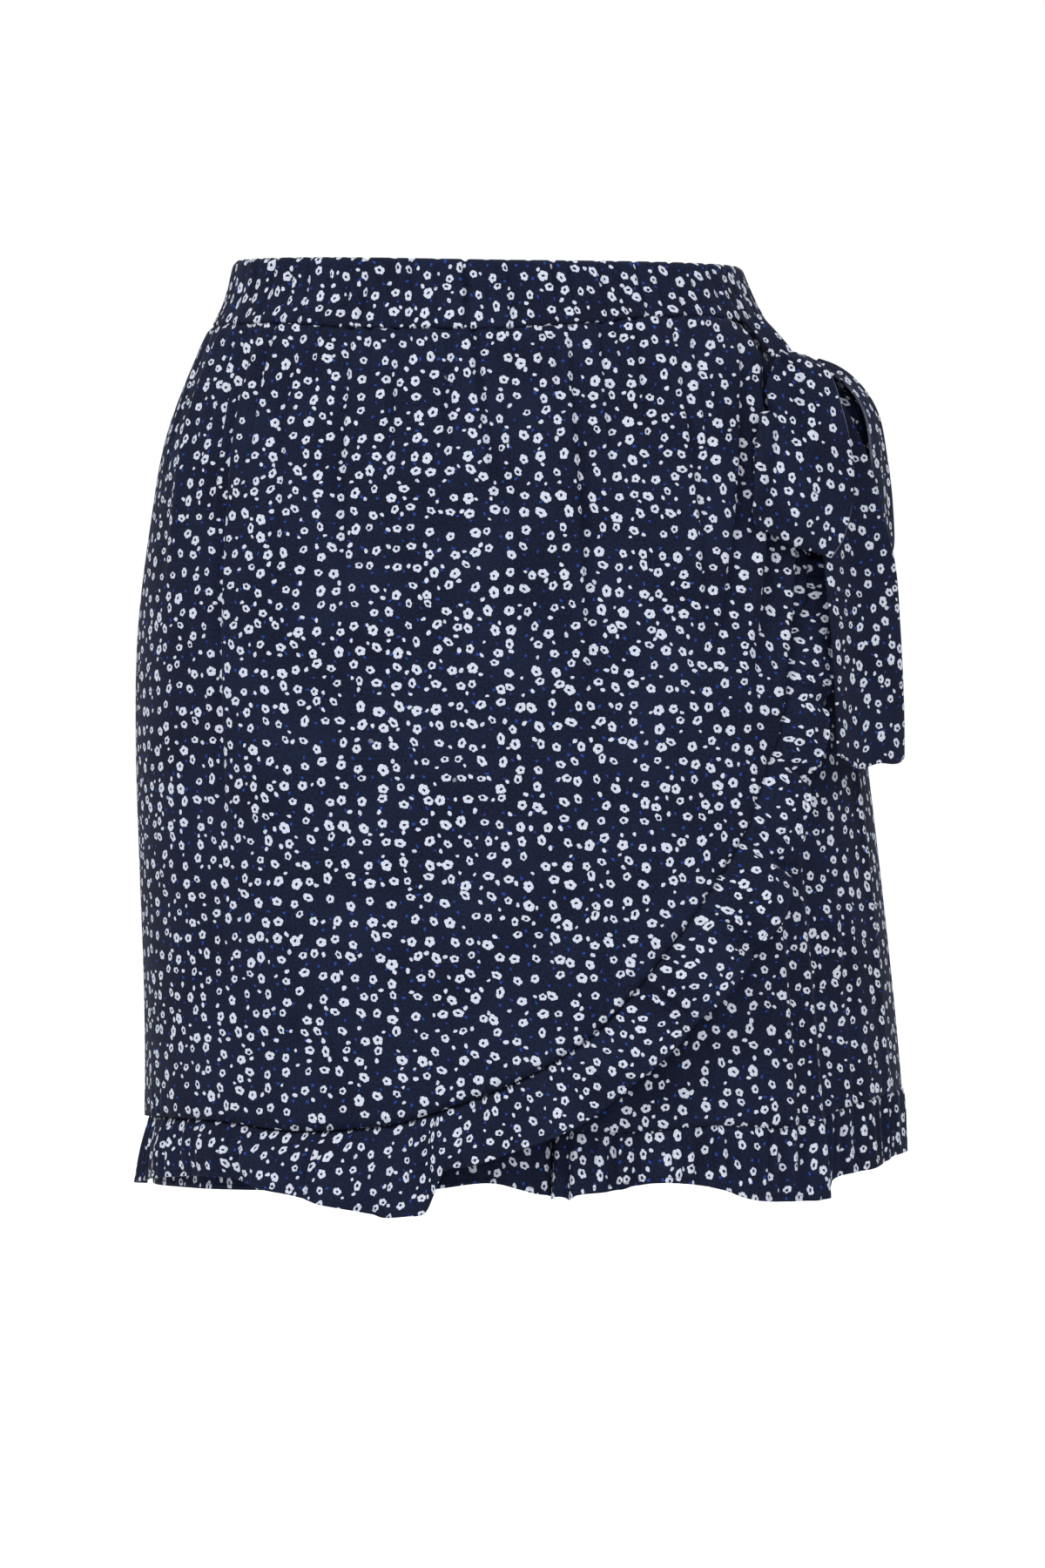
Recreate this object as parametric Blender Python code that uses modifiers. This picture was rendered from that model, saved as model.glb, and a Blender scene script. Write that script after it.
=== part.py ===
"""A skort: shorts under a wrap panel with a ruffled edge, tied in a bow at the wearer's left hip.

Metres, +Z up, +X to the wearer's left, front at -Y. The origin is the centre of the waist, level with
the middle of the waistband at the front. Angles run round the body in degrees: 0 at the centre
front, 90 at the wearer's left side seam, -90 at the right one, 180 at the centre back. The garment
keeps the filled-out, hollow form in which it is worn.
"""
import math
from collections import namedtuple

import bpy
from mathutils import Vector

# Cloth
CLOTH = 0.0012                 # one layer of woven crepe, with its turnings
BAND_CLOTH = 0.003             # waistband: cloth, elastic, cloth
TIE_CLOTH = 0.0015             # a tie is two layers
SEAM_GAP = 0.0003              # between the solids of two pieces that are sewn together
SHORTS_TUCK = 0.0017           # the shorts' top edge lies this far below the band's outer foot
NAVY = (0.011, 0.015, 0.036, 1.0)

# Heights
BAND_TOP = 0.014
BAND_FOOT = -0.016
WAIST_LIFT = 0.0045            # the waist is this much higher at the sides than at the front
WAIST_TILT = 0.0014            # and this much lower at the wearer's left side, higher at the right
LIFT_FADE = 0.085              # depth below the band over which the waist's tilt dies out
CROTCH_TOP = -0.215            # where the crotch curve leaves the front and back faces
CROTCH = -0.276
LEG_FOOT = -0.3725             # seam between a leg and its ruffle, on average

# Distances outward from the body form, which is the outer face of the shorts
BAND_OUT = 0.0026
BAND_END = 0.12                # degrees kept free at each side seam of the band
WRAP_OUT_TOP = 0.0027
WRAP_OUT_FOOT = 0.0042
LEG_RUFFLE_FLARE = {"left": 0.0014, "right": 0.0004}
LEG_RUFFLE_RIPPLE = {"left": 0.0018, "right": 0.0008}
LEG_GAP_AT_HEM = 0.0016        # from the mid-plane to a leg's inner wall
INNER_CORNER = 0.013           # rounding where a leg's face turns into its inner wall

ROUNDNESS = 2.2                # exponent of the body's oval

Section = namedtuple("Section", "height right left front back middle")
SECTIONS = [
    Section(-0.411, 0.156, 0.196, 0.122, 0.123, 0.031),
    Section(-0.375, 0.153, 0.192, 0.119, 0.121, 0.030),
    Section(-0.320, 0.153, 0.187, 0.117, 0.121, 0.027),
    Section(-0.260, 0.155, 0.1805, 0.116, 0.122, 0.022),
    Section(-0.200, 0.157, 0.1735, 0.114, 0.122, 0.016),
    Section(-0.150, 0.1565, 0.168, 0.112, 0.121, 0.011),
    Section(-0.100, 0.151, 0.1595, 0.109, 0.116, 0.007),
    Section(-0.060, 0.144, 0.149, 0.104, 0.108, 0.004),
    Section(-0.020, 0.1288, 0.1325, 0.096, 0.096, 0.001),
    Section(0.000, 0.1185, 0.1213, 0.090, 0.088, 0.000),
    Section(0.019, 0.1135, 0.1133, 0.087, 0.085, 0.000),
]

# How far the waistband's lower seam rises above its level course
Rise = namedtuple("Rise", "angle rise")
SEAM_RISE = [
    Rise(-180, 0.0),
    Rise(-62, 0.0),
    Rise(-51, 0.0),
    Rise(-38, -0.0019),
    Rise(-24, -0.0020),
    Rise(-5, -0.0016),
    Rise(8, -0.0010),
    Rise(15, 0.0001),
    Rise(27.5, 0.0018),
    Rise(38, 0.0042),
    Rise(53, 0.0054),
    Rise(57, 0.0055),
    Rise(62.5, 0.0045),
    Rise(72, 0.0020),
    Rise(84, 0.0),
    Rise(180, 0.0),
]

# Large soft folds. Depth is outward, so a trough is negative; the width is half the fold's, in degrees.
Fold = namedtuple("Fold", "top_angle foot_angle top foot width depth")
FOLDS = [
    Fold(-63, -60, -0.05, -0.33, 8, -0.0022),
    Fold(-52, -44, -0.02, -0.40, 9, 0.0020),
    Fold(-26, -22, -0.02, -0.24, 8, -0.0016),
    Fold(3, 2, -0.02, -0.30, 9, 0.0016),
    Fold(27, 22, -0.02, -0.27, 9, -0.0015),
    Fold(48, 49, -0.20, -0.41, 7, 0.0018),
    Fold(60, 62, -0.19, -0.41, 7, -0.0024),
    Fold(118, 112, -0.03, -0.39, 10, 0.0024),
    Fold(141, 146, -0.03, -0.41, 9, -0.0022),
    Fold(-118, -115, -0.03, -0.41, 10, -0.0022),
    Fold(-140, -149, -0.02, -0.37, 10, 0.0024),
    Fold(-165, -160, -0.04, -0.30, 9, -0.0018),
]

# The legs' hems round the body: the seam where a ruffle is sewn on, and the ruffle's free edge.
Hem = namedtuple("Hem", "angle seam free")
HEMS = [
    Hem(-180, -0.3728, -0.4035),
    Hem(-90, -0.3720, -0.4020),
    Hem(-22, -0.3720, -0.3990),
    Hem(-8, -0.3715, -0.3960),
    Hem(1, -0.3728, -0.4005),
    Hem(9, -0.3728, -0.4030),
    Hem(17, -0.3735, -0.3995),
    Hem(26, -0.3730, -0.3960),
    Hem(36, -0.3710, -0.3980),
    Hem(43, -0.3715, -0.4035),
    Hem(50, -0.3728, -0.4055),
    Hem(59, -0.3690, -0.4035),
    Hem(62, -0.3660, -0.3965),
    Hem(68, -0.3625, -0.3930),
    Hem(77, -0.3597, -0.3890),
    Hem(90, -0.3580, -0.3870),
    Hem(125, -0.3660, -0.3960),
    Hem(180, -0.3728, -0.4035),
]

# The wrap panel's curved edge, where its ruffle is sewn on, and that ruffle's free edge, with how
# far the free edge stands out from the seam and how deep its ripples are.
Edge = namedtuple("Edge", "angle height free_angle free_height flare ripple")
WRAP_EDGE = [
    Edge(-89.8, -0.3715, -89.8, -0.4030, 0.0010, 0.0012),
    Edge(-61.0, -0.3700, -59.0, -0.3945, 0.0030, 0.0018),
    Edge(-45.0, -0.3735, -45.5, -0.4005, 0.0044, 0.0018),
    Edge(-29.0, -0.3705, -28.0, -0.4095, 0.0052, 0.0022),
    Edge(-19.0, -0.3645, -17.5, -0.4085, 0.0052, 0.0026),
    Edge(-9.0, -0.3570, -6.0, -0.3870, 0.0052, 0.0026),
    Edge(2.0, -0.3465, 7.5, -0.3720, 0.0052, 0.0026),
    Edge(12.0, -0.3335, 19.0, -0.3540, 0.0052, 0.0026),
    Edge(20.0, -0.3180, 28.0, -0.3350, 0.0052, 0.0028),
    Edge(31.0, -0.2900, 39.5, -0.3070, 0.0052, 0.0030),
    Edge(40.0, -0.2630, 47.5, -0.2790, 0.0052, 0.0030),
    Edge(46.0, -0.2410, 51.0, -0.2550, 0.0052, 0.0030),
    Edge(51.0, -0.2155, 55.5, -0.2260, 0.0052, 0.0028),
    Edge(55.0, -0.1970, 59.5, -0.2040, 0.0052, 0.0026),
    Edge(58.0, -0.1680, 63.0, -0.1740, 0.0050, 0.0024),
    Edge(60.1, -0.1516, 65.5, -0.1570, 0.0046, 0.0020),
    Edge(63.6, -0.1385, 68.5, -0.1420, 0.0042, 0.0014),
    Edge(66.0, -0.1180, 70.5, -0.1205, 0.0038, 0.0010),
]
WRAP_TOP_ANGLE = 62.5          # where the panel's free edge leaves the waistband
WRAP_KNOT_PULL = 4.2           # degrees that the knot draws that edge outward
WRAP_KNOT_DEPTH = 0.014        # how far below the band the pull is strongest

# A tie's middle line, with half of its width and the way that it lies: `swing` is the direction of
# its width seen from above, 0 along +X, and `tilt` its slope, 90 for a width that stands upright.
Tie = namedtuple("Tie", "x y z half_width swing tilt")
STRAP = [
    Tie(0.1200, -0.0430, -0.0085, 0.0100, 65, 13),
    Tie(0.1236, -0.0420, -0.0126, 0.0088, 64, 16),
    Tie(0.1283, -0.0435, -0.0181, 0.0078, 60, 20),
    Tie(0.1330, -0.0460, -0.0240, 0.0068, 54, 22),
    Tie(0.1355, -0.0480, -0.0275, 0.0060, 48, 20),
]
FRONT_LOOP = [
    Tie(0.1385, -0.0600, -0.0262, 0.0070, 20, -10),
    Tie(0.1430, -0.0690, -0.0315, 0.0122, 20, -14),
    Tie(0.1430, -0.0760, -0.0430, 0.0180, 20, -17),
    Tie(0.1435, -0.0805, -0.0600, 0.0228, 22, -18),
    Tie(0.1430, -0.0825, -0.0800, 0.0256, 24, -18),
    Tie(0.1405, -0.0830, -0.1000, 0.0242, 25, -18),
    Tie(0.1380, -0.0815, -0.1105, 0.0208, 25, -18),
    Tie(0.1385, -0.0787, -0.1115, 0.0200, 27, -18),
    Tie(0.1415, -0.0762, -0.1000, 0.0230, 29, -18),
    Tie(0.1445, -0.0735, -0.0800, 0.0230, 30, -18),
    Tie(0.1455, -0.0700, -0.0580, 0.0190, 28, -16),
    Tie(0.1430, -0.0620, -0.0400, 0.0090, 24, -12),
]
BACK_LOOP = [
    Tie(0.1480, -0.0440, -0.0290, 0.0070, 70, 14),
    Tie(0.1560, -0.0400, -0.0315, 0.0110, 70, 8),
    Tie(0.1640, -0.0350, -0.0360, 0.0140, 74, 4),
    Tie(0.1712, -0.0310, -0.0435, 0.0160, 76, 2),
    Tie(0.1762, -0.0285, -0.0540, 0.0168, 77, 2),
    Tie(0.1788, -0.0265, -0.0700, 0.0170, 76, 2),
    Tie(0.1806, -0.0250, -0.0900, 0.0172, 74, 4),
    Tie(0.1815, -0.0245, -0.1120, 0.0175, 75, 4),
    Tie(0.1785, -0.0240, -0.1135, 0.0170, 78, 4),
    Tie(0.1735, -0.0240, -0.0920, 0.0170, 68, 5),
    Tie(0.1645, -0.0365, -0.0690, 0.0130, 36, 3),
    Tie(0.1620, -0.0385, -0.0510, 0.0125, 30, 0),
    Tie(0.1555, -0.0385, -0.0424, 0.0095, 40, 8),
    Tie(0.1480, -0.0405, -0.0395, 0.0070, 68, 18),
]
FRONT_TAIL = [
    Tie(0.1495, -0.0525, -0.0400, 0.0070, 38, -8),
    Tie(0.1540, -0.0515, -0.0520, 0.0120, 40, -6),
    Tie(0.1600, -0.0525, -0.0720, 0.0160, 41, -4),
    Tie(0.1640, -0.0560, -0.0950, 0.0185, 42, -2),
    Tie(0.1675, -0.0545, -0.1200, 0.0230, 43, 0),
    Tie(0.1698, -0.0600, -0.1500, 0.0245, 47, 0),
    Tie(0.1716, -0.0625, -0.1850, 0.0245, 48, 0),
    Tie(0.1724, -0.0630, -0.2120, 0.0240, 48, 0),
]
BACK_TAIL = [
    Tie(0.1480, -0.0350, -0.0325, 0.0065, 60, 0),
    Tie(0.1590, -0.0270, -0.0335, 0.0110, 25, -27),
    Tie(0.1645, -0.0205, -0.0460, 0.0118, 20, -24),
    Tie(0.1655, -0.0190, -0.0680, 0.0120, 40, -8),
    Tie(0.1680, -0.0230, -0.0900, 0.0155, 72, 0),
    Tie(0.1705, -0.0245, -0.1150, 0.0175, 84, 0),
    Tie(0.1755, -0.0230, -0.1500, 0.0175, 86, 0),
    Tie(0.1800, -0.0220, -0.1950, 0.0175, 86, 0),
]
KNOT_CENTRE = Vector((0.1370, -0.0520, -0.0345))
KNOT_SIZE = Vector((0.0160, 0.0200, 0.0160))
KNOT_TURN = 70.0               # degrees about Z, so that its broad face looks away from the hip

# Mesh density
PANEL_COLUMNS = 18
WALL_COLUMNS = 5               # of those, for the inner wall of a leg
BAND_COLUMNS = 28
WRAP_COLUMNS = 26
WRAP_ROWS = 11
WRAP_RUFFLE_COLUMNS = 102
WRAP_RUFFLE_PITCH = 0.025      # length of seam for one ripple
LEG_RUFFLE_COLUMNS = 76
LEG_RUFFLE_RIPPLES = 19
ARC_STEPS = 40
LEG_HEIGHTS = [BAND_FOOT - SHORTS_TUCK, -0.055, -0.105, -0.155, -0.200, -0.235, -0.258, -0.2705,
               CROTCH, -0.320, LEG_FOOT]


def row_at(table, place):
    """The row of a table at `place` in its first column, on a smooth curve through the rows."""
    place = min(max(place, table[0][0]), table[-1][0])
    last = len(table) - 1
    low = max(i for i in range(last) if table[i][0] <= place)
    high = low + 1
    span = table[high][0] - table[low][0]
    share = (place - table[low][0]) / span

    def slope(index, column):
        before, after = table[max(index - 1, 0)], table[min(index + 1, last)]
        return (after[column] - before[column]) / (after[0] - before[0]) * span

    values = []
    for column in range(len(table[0])):
        start, end = table[low][column], table[high][column]
        bend = (slope(low, column) * share * (1 - share) ** 2
                - slope(high, column) * share ** 2 * (1 - share))
        values.append(start + (end - start) * share * share * (3 - 2 * share) + bend)
    return type(table[0])(*values)


def fade(value, start, end):
    """0 at `start`, 1 at `end`, eased between."""
    share = min(max((value - start) / (end - start), 0.0), 1.0)
    return share * share * (3 - 2 * share)


def fold_relief(angle, height):
    """How far the folds push the cloth outward at a place on the body form."""
    relief = 0.0
    for fold in FOLDS:
        along = (fold.top - height) / (fold.top - fold.foot)
        if not 0.0 < along < 1.0:
            continue
        middle = fold.top_angle + (fold.foot_angle - fold.top_angle) * along
        across = abs(angle - middle) / fold.width
        if across < 1.0:
            ends = math.sqrt(math.sin(math.pi * along))
            relief += fold.depth * ends * (0.5 + 0.5 * math.cos(math.pi * across))
    return relief


def form_point(angle, height, out=0.0):
    """A point `out` beyond the body form."""
    section = row_at(SECTIONS, height)
    turn = math.radians(angle)
    half_width = (section.right + section.left) / 2 + out
    depth = (section.front if math.cos(turn) > 0 else section.back) + out
    reach = (abs(math.sin(turn) / half_width) ** ROUNDNESS
             + abs(math.cos(turn) / depth) ** ROUNDNESS) ** (-1 / ROUNDNESS)
    reach += fold_relief(angle, height)
    centre = (section.left - section.right) / 2
    return Vector((centre + reach * math.sin(turn), -reach * math.cos(turn), height))


def waist_lift(angle):
    turn = math.radians(angle)
    return WAIST_LIFT * (1 - math.cos(turn)) - WAIST_TILT * math.sin(turn)


def seam_rise(angle):
    return row_at(SEAM_RISE, angle - 360 if angle > 180 else angle).rise


def leg_height(nominal, angle):
    """A leg row's real height: tilted with the waist at its top and uneven at its hem."""
    near_waist = 1 - fade(nominal, BAND_FOOT, BAND_FOOT - LIFT_FADE)
    near_hem = fade(nominal, CROTCH, LEG_FOOT)
    hem_lift = row_at(HEMS, angle).seam - LEG_FOOT
    return nominal + (waist_lift(angle) + seam_rise(angle)) * near_waist + hem_lift * near_hem


def spread_evenly(points, count):
    """`count` points at equal steps along a line of points."""
    travelled = [0.0]
    for start, end in zip(points, points[1:]):
        travelled.append(travelled[-1] + (end - start).length)
    spread = []
    index = 0
    for step in range(count):
        goal = travelled[-1] * step / (count - 1)
        while index < len(points) - 2 and travelled[index + 1] < goal:
            index += 1
        share = (goal - travelled[index]) / (travelled[index + 1] - travelled[index])
        spread.append(points[index].lerp(points[index + 1], min(share, 1.0)))
    return spread


def angle_at_x(x, face, height):
    """The angle on the front (face 1) or back (face -1) of the form where it crosses a given x."""
    low, high = -90.0, 90.0
    for _ in range(30):
        middle = (low + high) / 2
        angle = middle if face > 0 else 180 - middle
        if form_point(angle, height).x < x:
            low = middle
        else:
            high = middle
    return (low + high) / 2


def leg_line(side, face, nominal):
    """A leg's outer line at a height: across its face from the side seam, and along its inner wall.

    Side is 1 for the wearer's left leg and -1 for the right one; face is 1 in front and -1 behind.
    Above the crotch the line stops at the centre seam. Along the crotch curve the inner wall comes
    in step by step, and below it the wall ends at the inner leg seam.
    """
    opening = SEAM_GAP / 2 + LEG_GAP_AT_HEM * fade(nominal, CROTCH, LEG_FOOT)
    inner_x = row_at(SECTIONS, nominal).middle + side * opening
    start = side * 90.0 - side * math.degrees(SEAM_GAP / 2 / 0.15)
    end = angle_at_x(inner_x, face, nominal)
    line = []
    for step in range(ARC_STEPS + 1):
        turn = start + (end - start) * step / ARC_STEPS
        angle = turn if face > 0 else 180 - turn
        if angle > 180:
            angle -= 360
        line.append(form_point(angle, leg_height(nominal, angle)))
    corner = line[-1]
    drop = min(max((CROTCH_TOP - nominal) / (CROTCH_TOP - CROTCH), 0.0), 1.0)
    wall = (abs(corner.y) - SEAM_GAP / 2) * (1 - math.sqrt(1 - drop * drop))
    if wall < 0.001:
        return line, None
    inward = Vector((0, face, 0))
    rounding = min(INNER_CORNER, wall * 0.8)
    outside = [point for point in line if (point - corner).length > rounding]
    arc_start = outside[-1]
    arc_end = corner + inward * rounding
    arc = []
    for step in range(1, 6):
        share = step / 6
        arc.append(arc_start.lerp(corner, share).lerp(corner.lerp(arc_end, share), share))
    return outside + arc[:3], arc[2:] + [arc_end, corner + inward * wall]


def panel_row(side, face, nominal):
    """A row of a leg's panel, whose columns turn into the inner wall at the same place in every row."""
    across, wall = leg_line(side, face, nominal)
    if wall is None:
        return spread_evenly(across, PANEL_COLUMNS + 1)
    walled = 1 + round((WALL_COLUMNS - 1) * fade(nominal, CROTCH_TOP, (CROTCH_TOP + CROTCH) / 2))
    return spread_evenly(across, PANEL_COLUMNS + 1 - walled) + spread_evenly(wall, walled + 1)[1:]


def make_material(name):
    material = bpy.data.materials.new(name)
    material.use_nodes = True
    shader = material.node_tree.nodes["Principled BSDF"]
    shader.inputs["Base Color"].default_value = NAVY
    shader.inputs["Roughness"].default_value = 0.85
    shader.inputs["Metallic"].default_value = 0.0
    material.diffuse_color = NAVY
    return material


def cloth_from_rows(name, rows, thickness, ring=False, offset=-1.0):
    """A named piece of cloth lofted through rows of points, with a real wall.

    The rows hold the outer face, and the wall grows toward the body, unless `offset` is 0.
    """
    count = len(rows[0])
    vertices = [point for row in rows for point in row]
    faces = []
    for row in range(len(rows) - 1):
        for column in range(count if ring else count - 1):
            here = row * count + column
            beside = row * count + (column + 1) % count
            faces.append((here, beside, beside + count, here + count))
    mesh = bpy.data.meshes.new(name)
    mesh.from_pydata(vertices, [], faces)
    centre = sum(vertices, Vector()) / len(vertices)
    if not ring:
        centre = Vector((0.018, 0.0, centre.z))
    facing_out = sum(face.normal.dot(face.center - centre) * face.area for face in mesh.polygons)
    if facing_out < 0:
        mesh.flip_normals()
    mesh.shade_smooth()
    piece = bpy.data.objects.new(name, mesh)
    collection.objects.link(piece)
    mesh.materials.append(make_material(name + "_cloth"))
    wall = piece.modifiers.new("wall", "SOLIDIFY")
    wall.thickness = thickness
    wall.offset = offset
    wall.use_even_offset = True
    return piece


def make_waistband():
    for name, start in (("waistband_front", -90.0), ("waistband_back", 90.0)):
        rows = []
        for share in (0.0, 0.5, 1.0):
            row = []
            for column in range(BAND_COLUMNS + 1):
                angle = start + BAND_END + (180 - 2 * BAND_END) * column / BAND_COLUMNS
                height = BAND_FOOT + (BAND_TOP - BAND_FOOT) * share + seam_rise(angle) * (1 - share)
                row.append(form_point(angle, height + waist_lift(angle), BAND_OUT))
            rows.append(row)
        cloth_from_rows(name, rows, BAND_CLOTH)


def make_shorts():
    for side, wearer in ((1, "left"), (-1, "right")):
        for face, place in ((1, "front"), (-1, "back")):
            rows = [panel_row(side, face, nominal) for nominal in LEG_HEIGHTS]
            cloth_from_rows(f"shorts_{place}_{wearer}", rows, CLOTH)


def ruffle_wave(turn, row_share):
    """A ripple's push from -1 to 1, uneven in length and depth and growing toward the free edge."""
    return row_share * (0.75 * math.sin(turn) + 0.25 * math.sin(turn * 0.37 + 1.0))


def make_leg_ruffles():
    foot = row_at(SECTIONS, LEG_FOOT)
    for side, wearer in ((1, "left"), (-1, "right")):
        front = panel_row(side, 1, LEG_FOOT)
        back = panel_row(side, -1, LEG_FOOT)
        ring = spread_evenly(front + back[::-1] + front[:1], LEG_RUFFLE_COLUMNS + 1)[:-1]
        rows = []
        for share in (0.0, 0.5, 1.0):
            row = []
            for column, point in enumerate(ring):
                along = ring[(column + 1) % len(ring)] - ring[column - 1]
                outward = Vector((along.y, -along.x, 0)).normalized() * -side
                inner_wall = fade(abs(point.x - foot.middle), 0.030, 0.006)
                turn = 2 * math.pi * LEG_RUFFLE_RIPPLES * column / LEG_RUFFLE_COLUMNS
                push = LEG_RUFFLE_FLARE[wearer] * share
                push += LEG_RUFFLE_RIPPLE[wearer] * ruffle_wave(turn, share)
                body_angle = math.degrees(math.atan2(point.x - (foot.left - foot.right) / 2, -point.y))
                spot = point + outward * push * (1 - 0.7 * inner_wall)
                free = row_at(HEMS, body_angle).free
                spot.z = (point.z - 2 * SEAM_GAP) * (1 - share) + free * share
                row.append(spot)
            rows.append(row)
        cloth_from_rows(f"leg_ruffle_{wearer}", rows, CLOTH, ring=True)


def wrap_out(height):
    return WRAP_OUT_TOP + (WRAP_OUT_FOOT - WRAP_OUT_TOP) * fade(height, BAND_FOOT, -0.25)


def wrap_edge_by_length():
    """The wrap edge's rows, led by the length of seam from the right side seam."""
    Along = namedtuple("Along", ("length",) + Edge._fields)
    rows = []
    length = 0.0
    for index, edge in enumerate(WRAP_EDGE):
        if index:
            before = WRAP_EDGE[index - 1]
            step = form_point(edge.angle, edge.height) - form_point(before.angle, before.height)
            length += step.length
        rows.append(Along(length, *edge))
    return rows


def make_wrap_panel():
    edge_rows = wrap_edge_by_length()
    length = edge_rows[-1].length
    rows = []
    for row_index in range(WRAP_ROWS + 1):
        down = row_index / WRAP_ROWS
        row = []
        for column in range(WRAP_COLUMNS + 1):
            edge = row_at(edge_rows, length * column / WRAP_COLUMNS)
            across = (edge.angle + 89.8) / (WRAP_EDGE[-1].angle + 89.8)
            top_angle = -89.8 + (WRAP_TOP_ANGLE + 89.8) * across
            top = BAND_FOOT - SEAM_GAP + waist_lift(top_angle) + seam_rise(top_angle)
            height = top + (edge.height - top) * down
            pull = fade(across, 0.80, 1.0) * WRAP_KNOT_PULL
            pull *= math.exp(-((height - BAND_FOOT + WRAP_KNOT_DEPTH) / 0.020) ** 2) * min(down * 12, 1)
            angle = top_angle + (edge.angle - top_angle) * down + pull
            row.append(form_point(angle, height, wrap_out(height)))
        rows.append(row)
    cloth_from_rows("wrap_panel", rows, CLOTH)


def make_wrap_ruffle():
    edge_rows = wrap_edge_by_length()
    length = edge_rows[-1].length
    rows = []
    for share in (0.0, 0.5, 1.0):
        row = []
        for column in range(WRAP_RUFFLE_COLUMNS + 1):
            along = length * column / WRAP_RUFFLE_COLUMNS
            edge = row_at(edge_rows, along)
            seam = form_point(edge.angle, edge.height, wrap_out(edge.height))
            free_out = wrap_out(edge.free_height) + edge.flare
            free = form_point(edge.free_angle, edge.free_height, free_out)
            clearance = (free - seam).normalized() * SEAM_GAP * 1.5
            point = (seam + clearance).lerp(free, share)
            outward = form_point(edge.angle, point.z, 0.01) - form_point(edge.angle, point.z)
            turn = 2 * math.pi * along / WRAP_RUFFLE_PITCH
            row.append(point + outward.normalized() * edge.ripple * ruffle_wave(turn, share))
        rows.append(row)
    cloth_from_rows("wrap_ruffle", rows, CLOTH)


def make_tie(name, table, steps_between=2, columns=3):
    """A strip of doubled cloth along a table of places."""
    Numbered = namedtuple("Numbered", ("number",) + Tie._fields)
    numbered = [Numbered(float(index), *tie) for index, tie in enumerate(table)]
    rows = []
    for step in range((len(table) - 1) * steps_between + 1):
        tie = row_at(numbered, step / steps_between)
        swing, tilt = math.radians(tie.swing), math.radians(tie.tilt)
        across = Vector((math.cos(swing) * math.cos(tilt), math.sin(swing) * math.cos(tilt),
                         math.sin(tilt)))
        middle = Vector((tie.x, tie.y, tie.z))
        rows.append([middle + across * tie.half_width * (2 * column / columns - 1)
                     for column in range(columns + 1)])
    return cloth_from_rows(name, rows, TIE_CLOTH, offset=0.0)


def make_knot():
    """The knot: a small rounded block of folded cloth."""
    bpy.ops.mesh.primitive_cube_add(size=1.0, location=KNOT_CENTRE)
    knot = bpy.context.object
    knot.name = "tie_knot"
    knot.data.name = "tie_knot"
    for vertex in knot.data.vertices:
        vertex.co = Vector(a * b for a, b in zip(vertex.co, KNOT_SIZE))
    knot.rotation_euler.z = math.radians(KNOT_TURN - 90)
    for old in knot.users_collection:
        old.objects.unlink(knot)
    collection.objects.link(knot)
    knot.data.materials.append(make_material("tie_knot_cloth"))
    soft = knot.modifiers.new("soft", "SUBSURF")
    soft.levels = 2
    soft.render_levels = 2
    knot.data.shade_smooth()


for scene_object in list(bpy.data.objects):
    bpy.data.objects.remove(scene_object)
collection = bpy.data.collections.new("skort")
bpy.context.scene.collection.children.link(collection)

make_waistband()
make_shorts()
make_leg_ruffles()
make_wrap_panel()
make_wrap_ruffle()
make_tie("tie_strap", STRAP, columns=2)
make_tie("tie_loop_front", FRONT_LOOP)
make_tie("tie_loop_back", BACK_LOOP)
make_tie("tie_tail_front", FRONT_TAIL)
make_tie("tie_tail_back", BACK_TAIL)
make_knot()
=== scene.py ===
"""Looks for the skort: printed crepe shells on the frame's solids, with gathers, ruffles and the bow.

Metres, +Z up, +X to the wearer's left, front at -Y. Angles run round the body in degrees: 0 at the
centre front, 90 at the wearer's left side seam, -90 at the right one, 180 at the centre back.
"""
import math
from collections import namedtuple

import bmesh
import bpy
import numpy as np
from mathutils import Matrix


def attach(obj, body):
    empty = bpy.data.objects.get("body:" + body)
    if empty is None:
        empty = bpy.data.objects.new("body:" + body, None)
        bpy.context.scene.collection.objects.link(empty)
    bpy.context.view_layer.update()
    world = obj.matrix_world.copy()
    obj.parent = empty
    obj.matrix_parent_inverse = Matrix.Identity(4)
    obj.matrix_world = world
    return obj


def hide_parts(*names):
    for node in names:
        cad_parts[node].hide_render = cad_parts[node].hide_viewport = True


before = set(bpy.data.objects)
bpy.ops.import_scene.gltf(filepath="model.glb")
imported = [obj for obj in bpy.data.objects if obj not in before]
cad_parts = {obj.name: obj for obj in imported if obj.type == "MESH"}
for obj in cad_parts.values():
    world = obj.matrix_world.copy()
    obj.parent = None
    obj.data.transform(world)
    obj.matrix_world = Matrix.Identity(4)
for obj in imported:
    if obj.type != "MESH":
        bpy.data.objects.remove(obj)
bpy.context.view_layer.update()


def rows_of(kind, *rows):
    """A table whose rows are all of one kind."""
    return [kind(*row) for row in rows]


# ---- sizes of the cut
CLOTH = 0.0006  # one layer of crepe
BAND_CLOTH = 0.0024  # waistband: cloth, elastic, cloth
TIE_CLOTH = 0.0011  # a tie is two layers
TUCK = 0.0012  # how far a seam draws the cloth in
SEAM_ROUNDING = 0.0030  # height over which it does so

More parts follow.
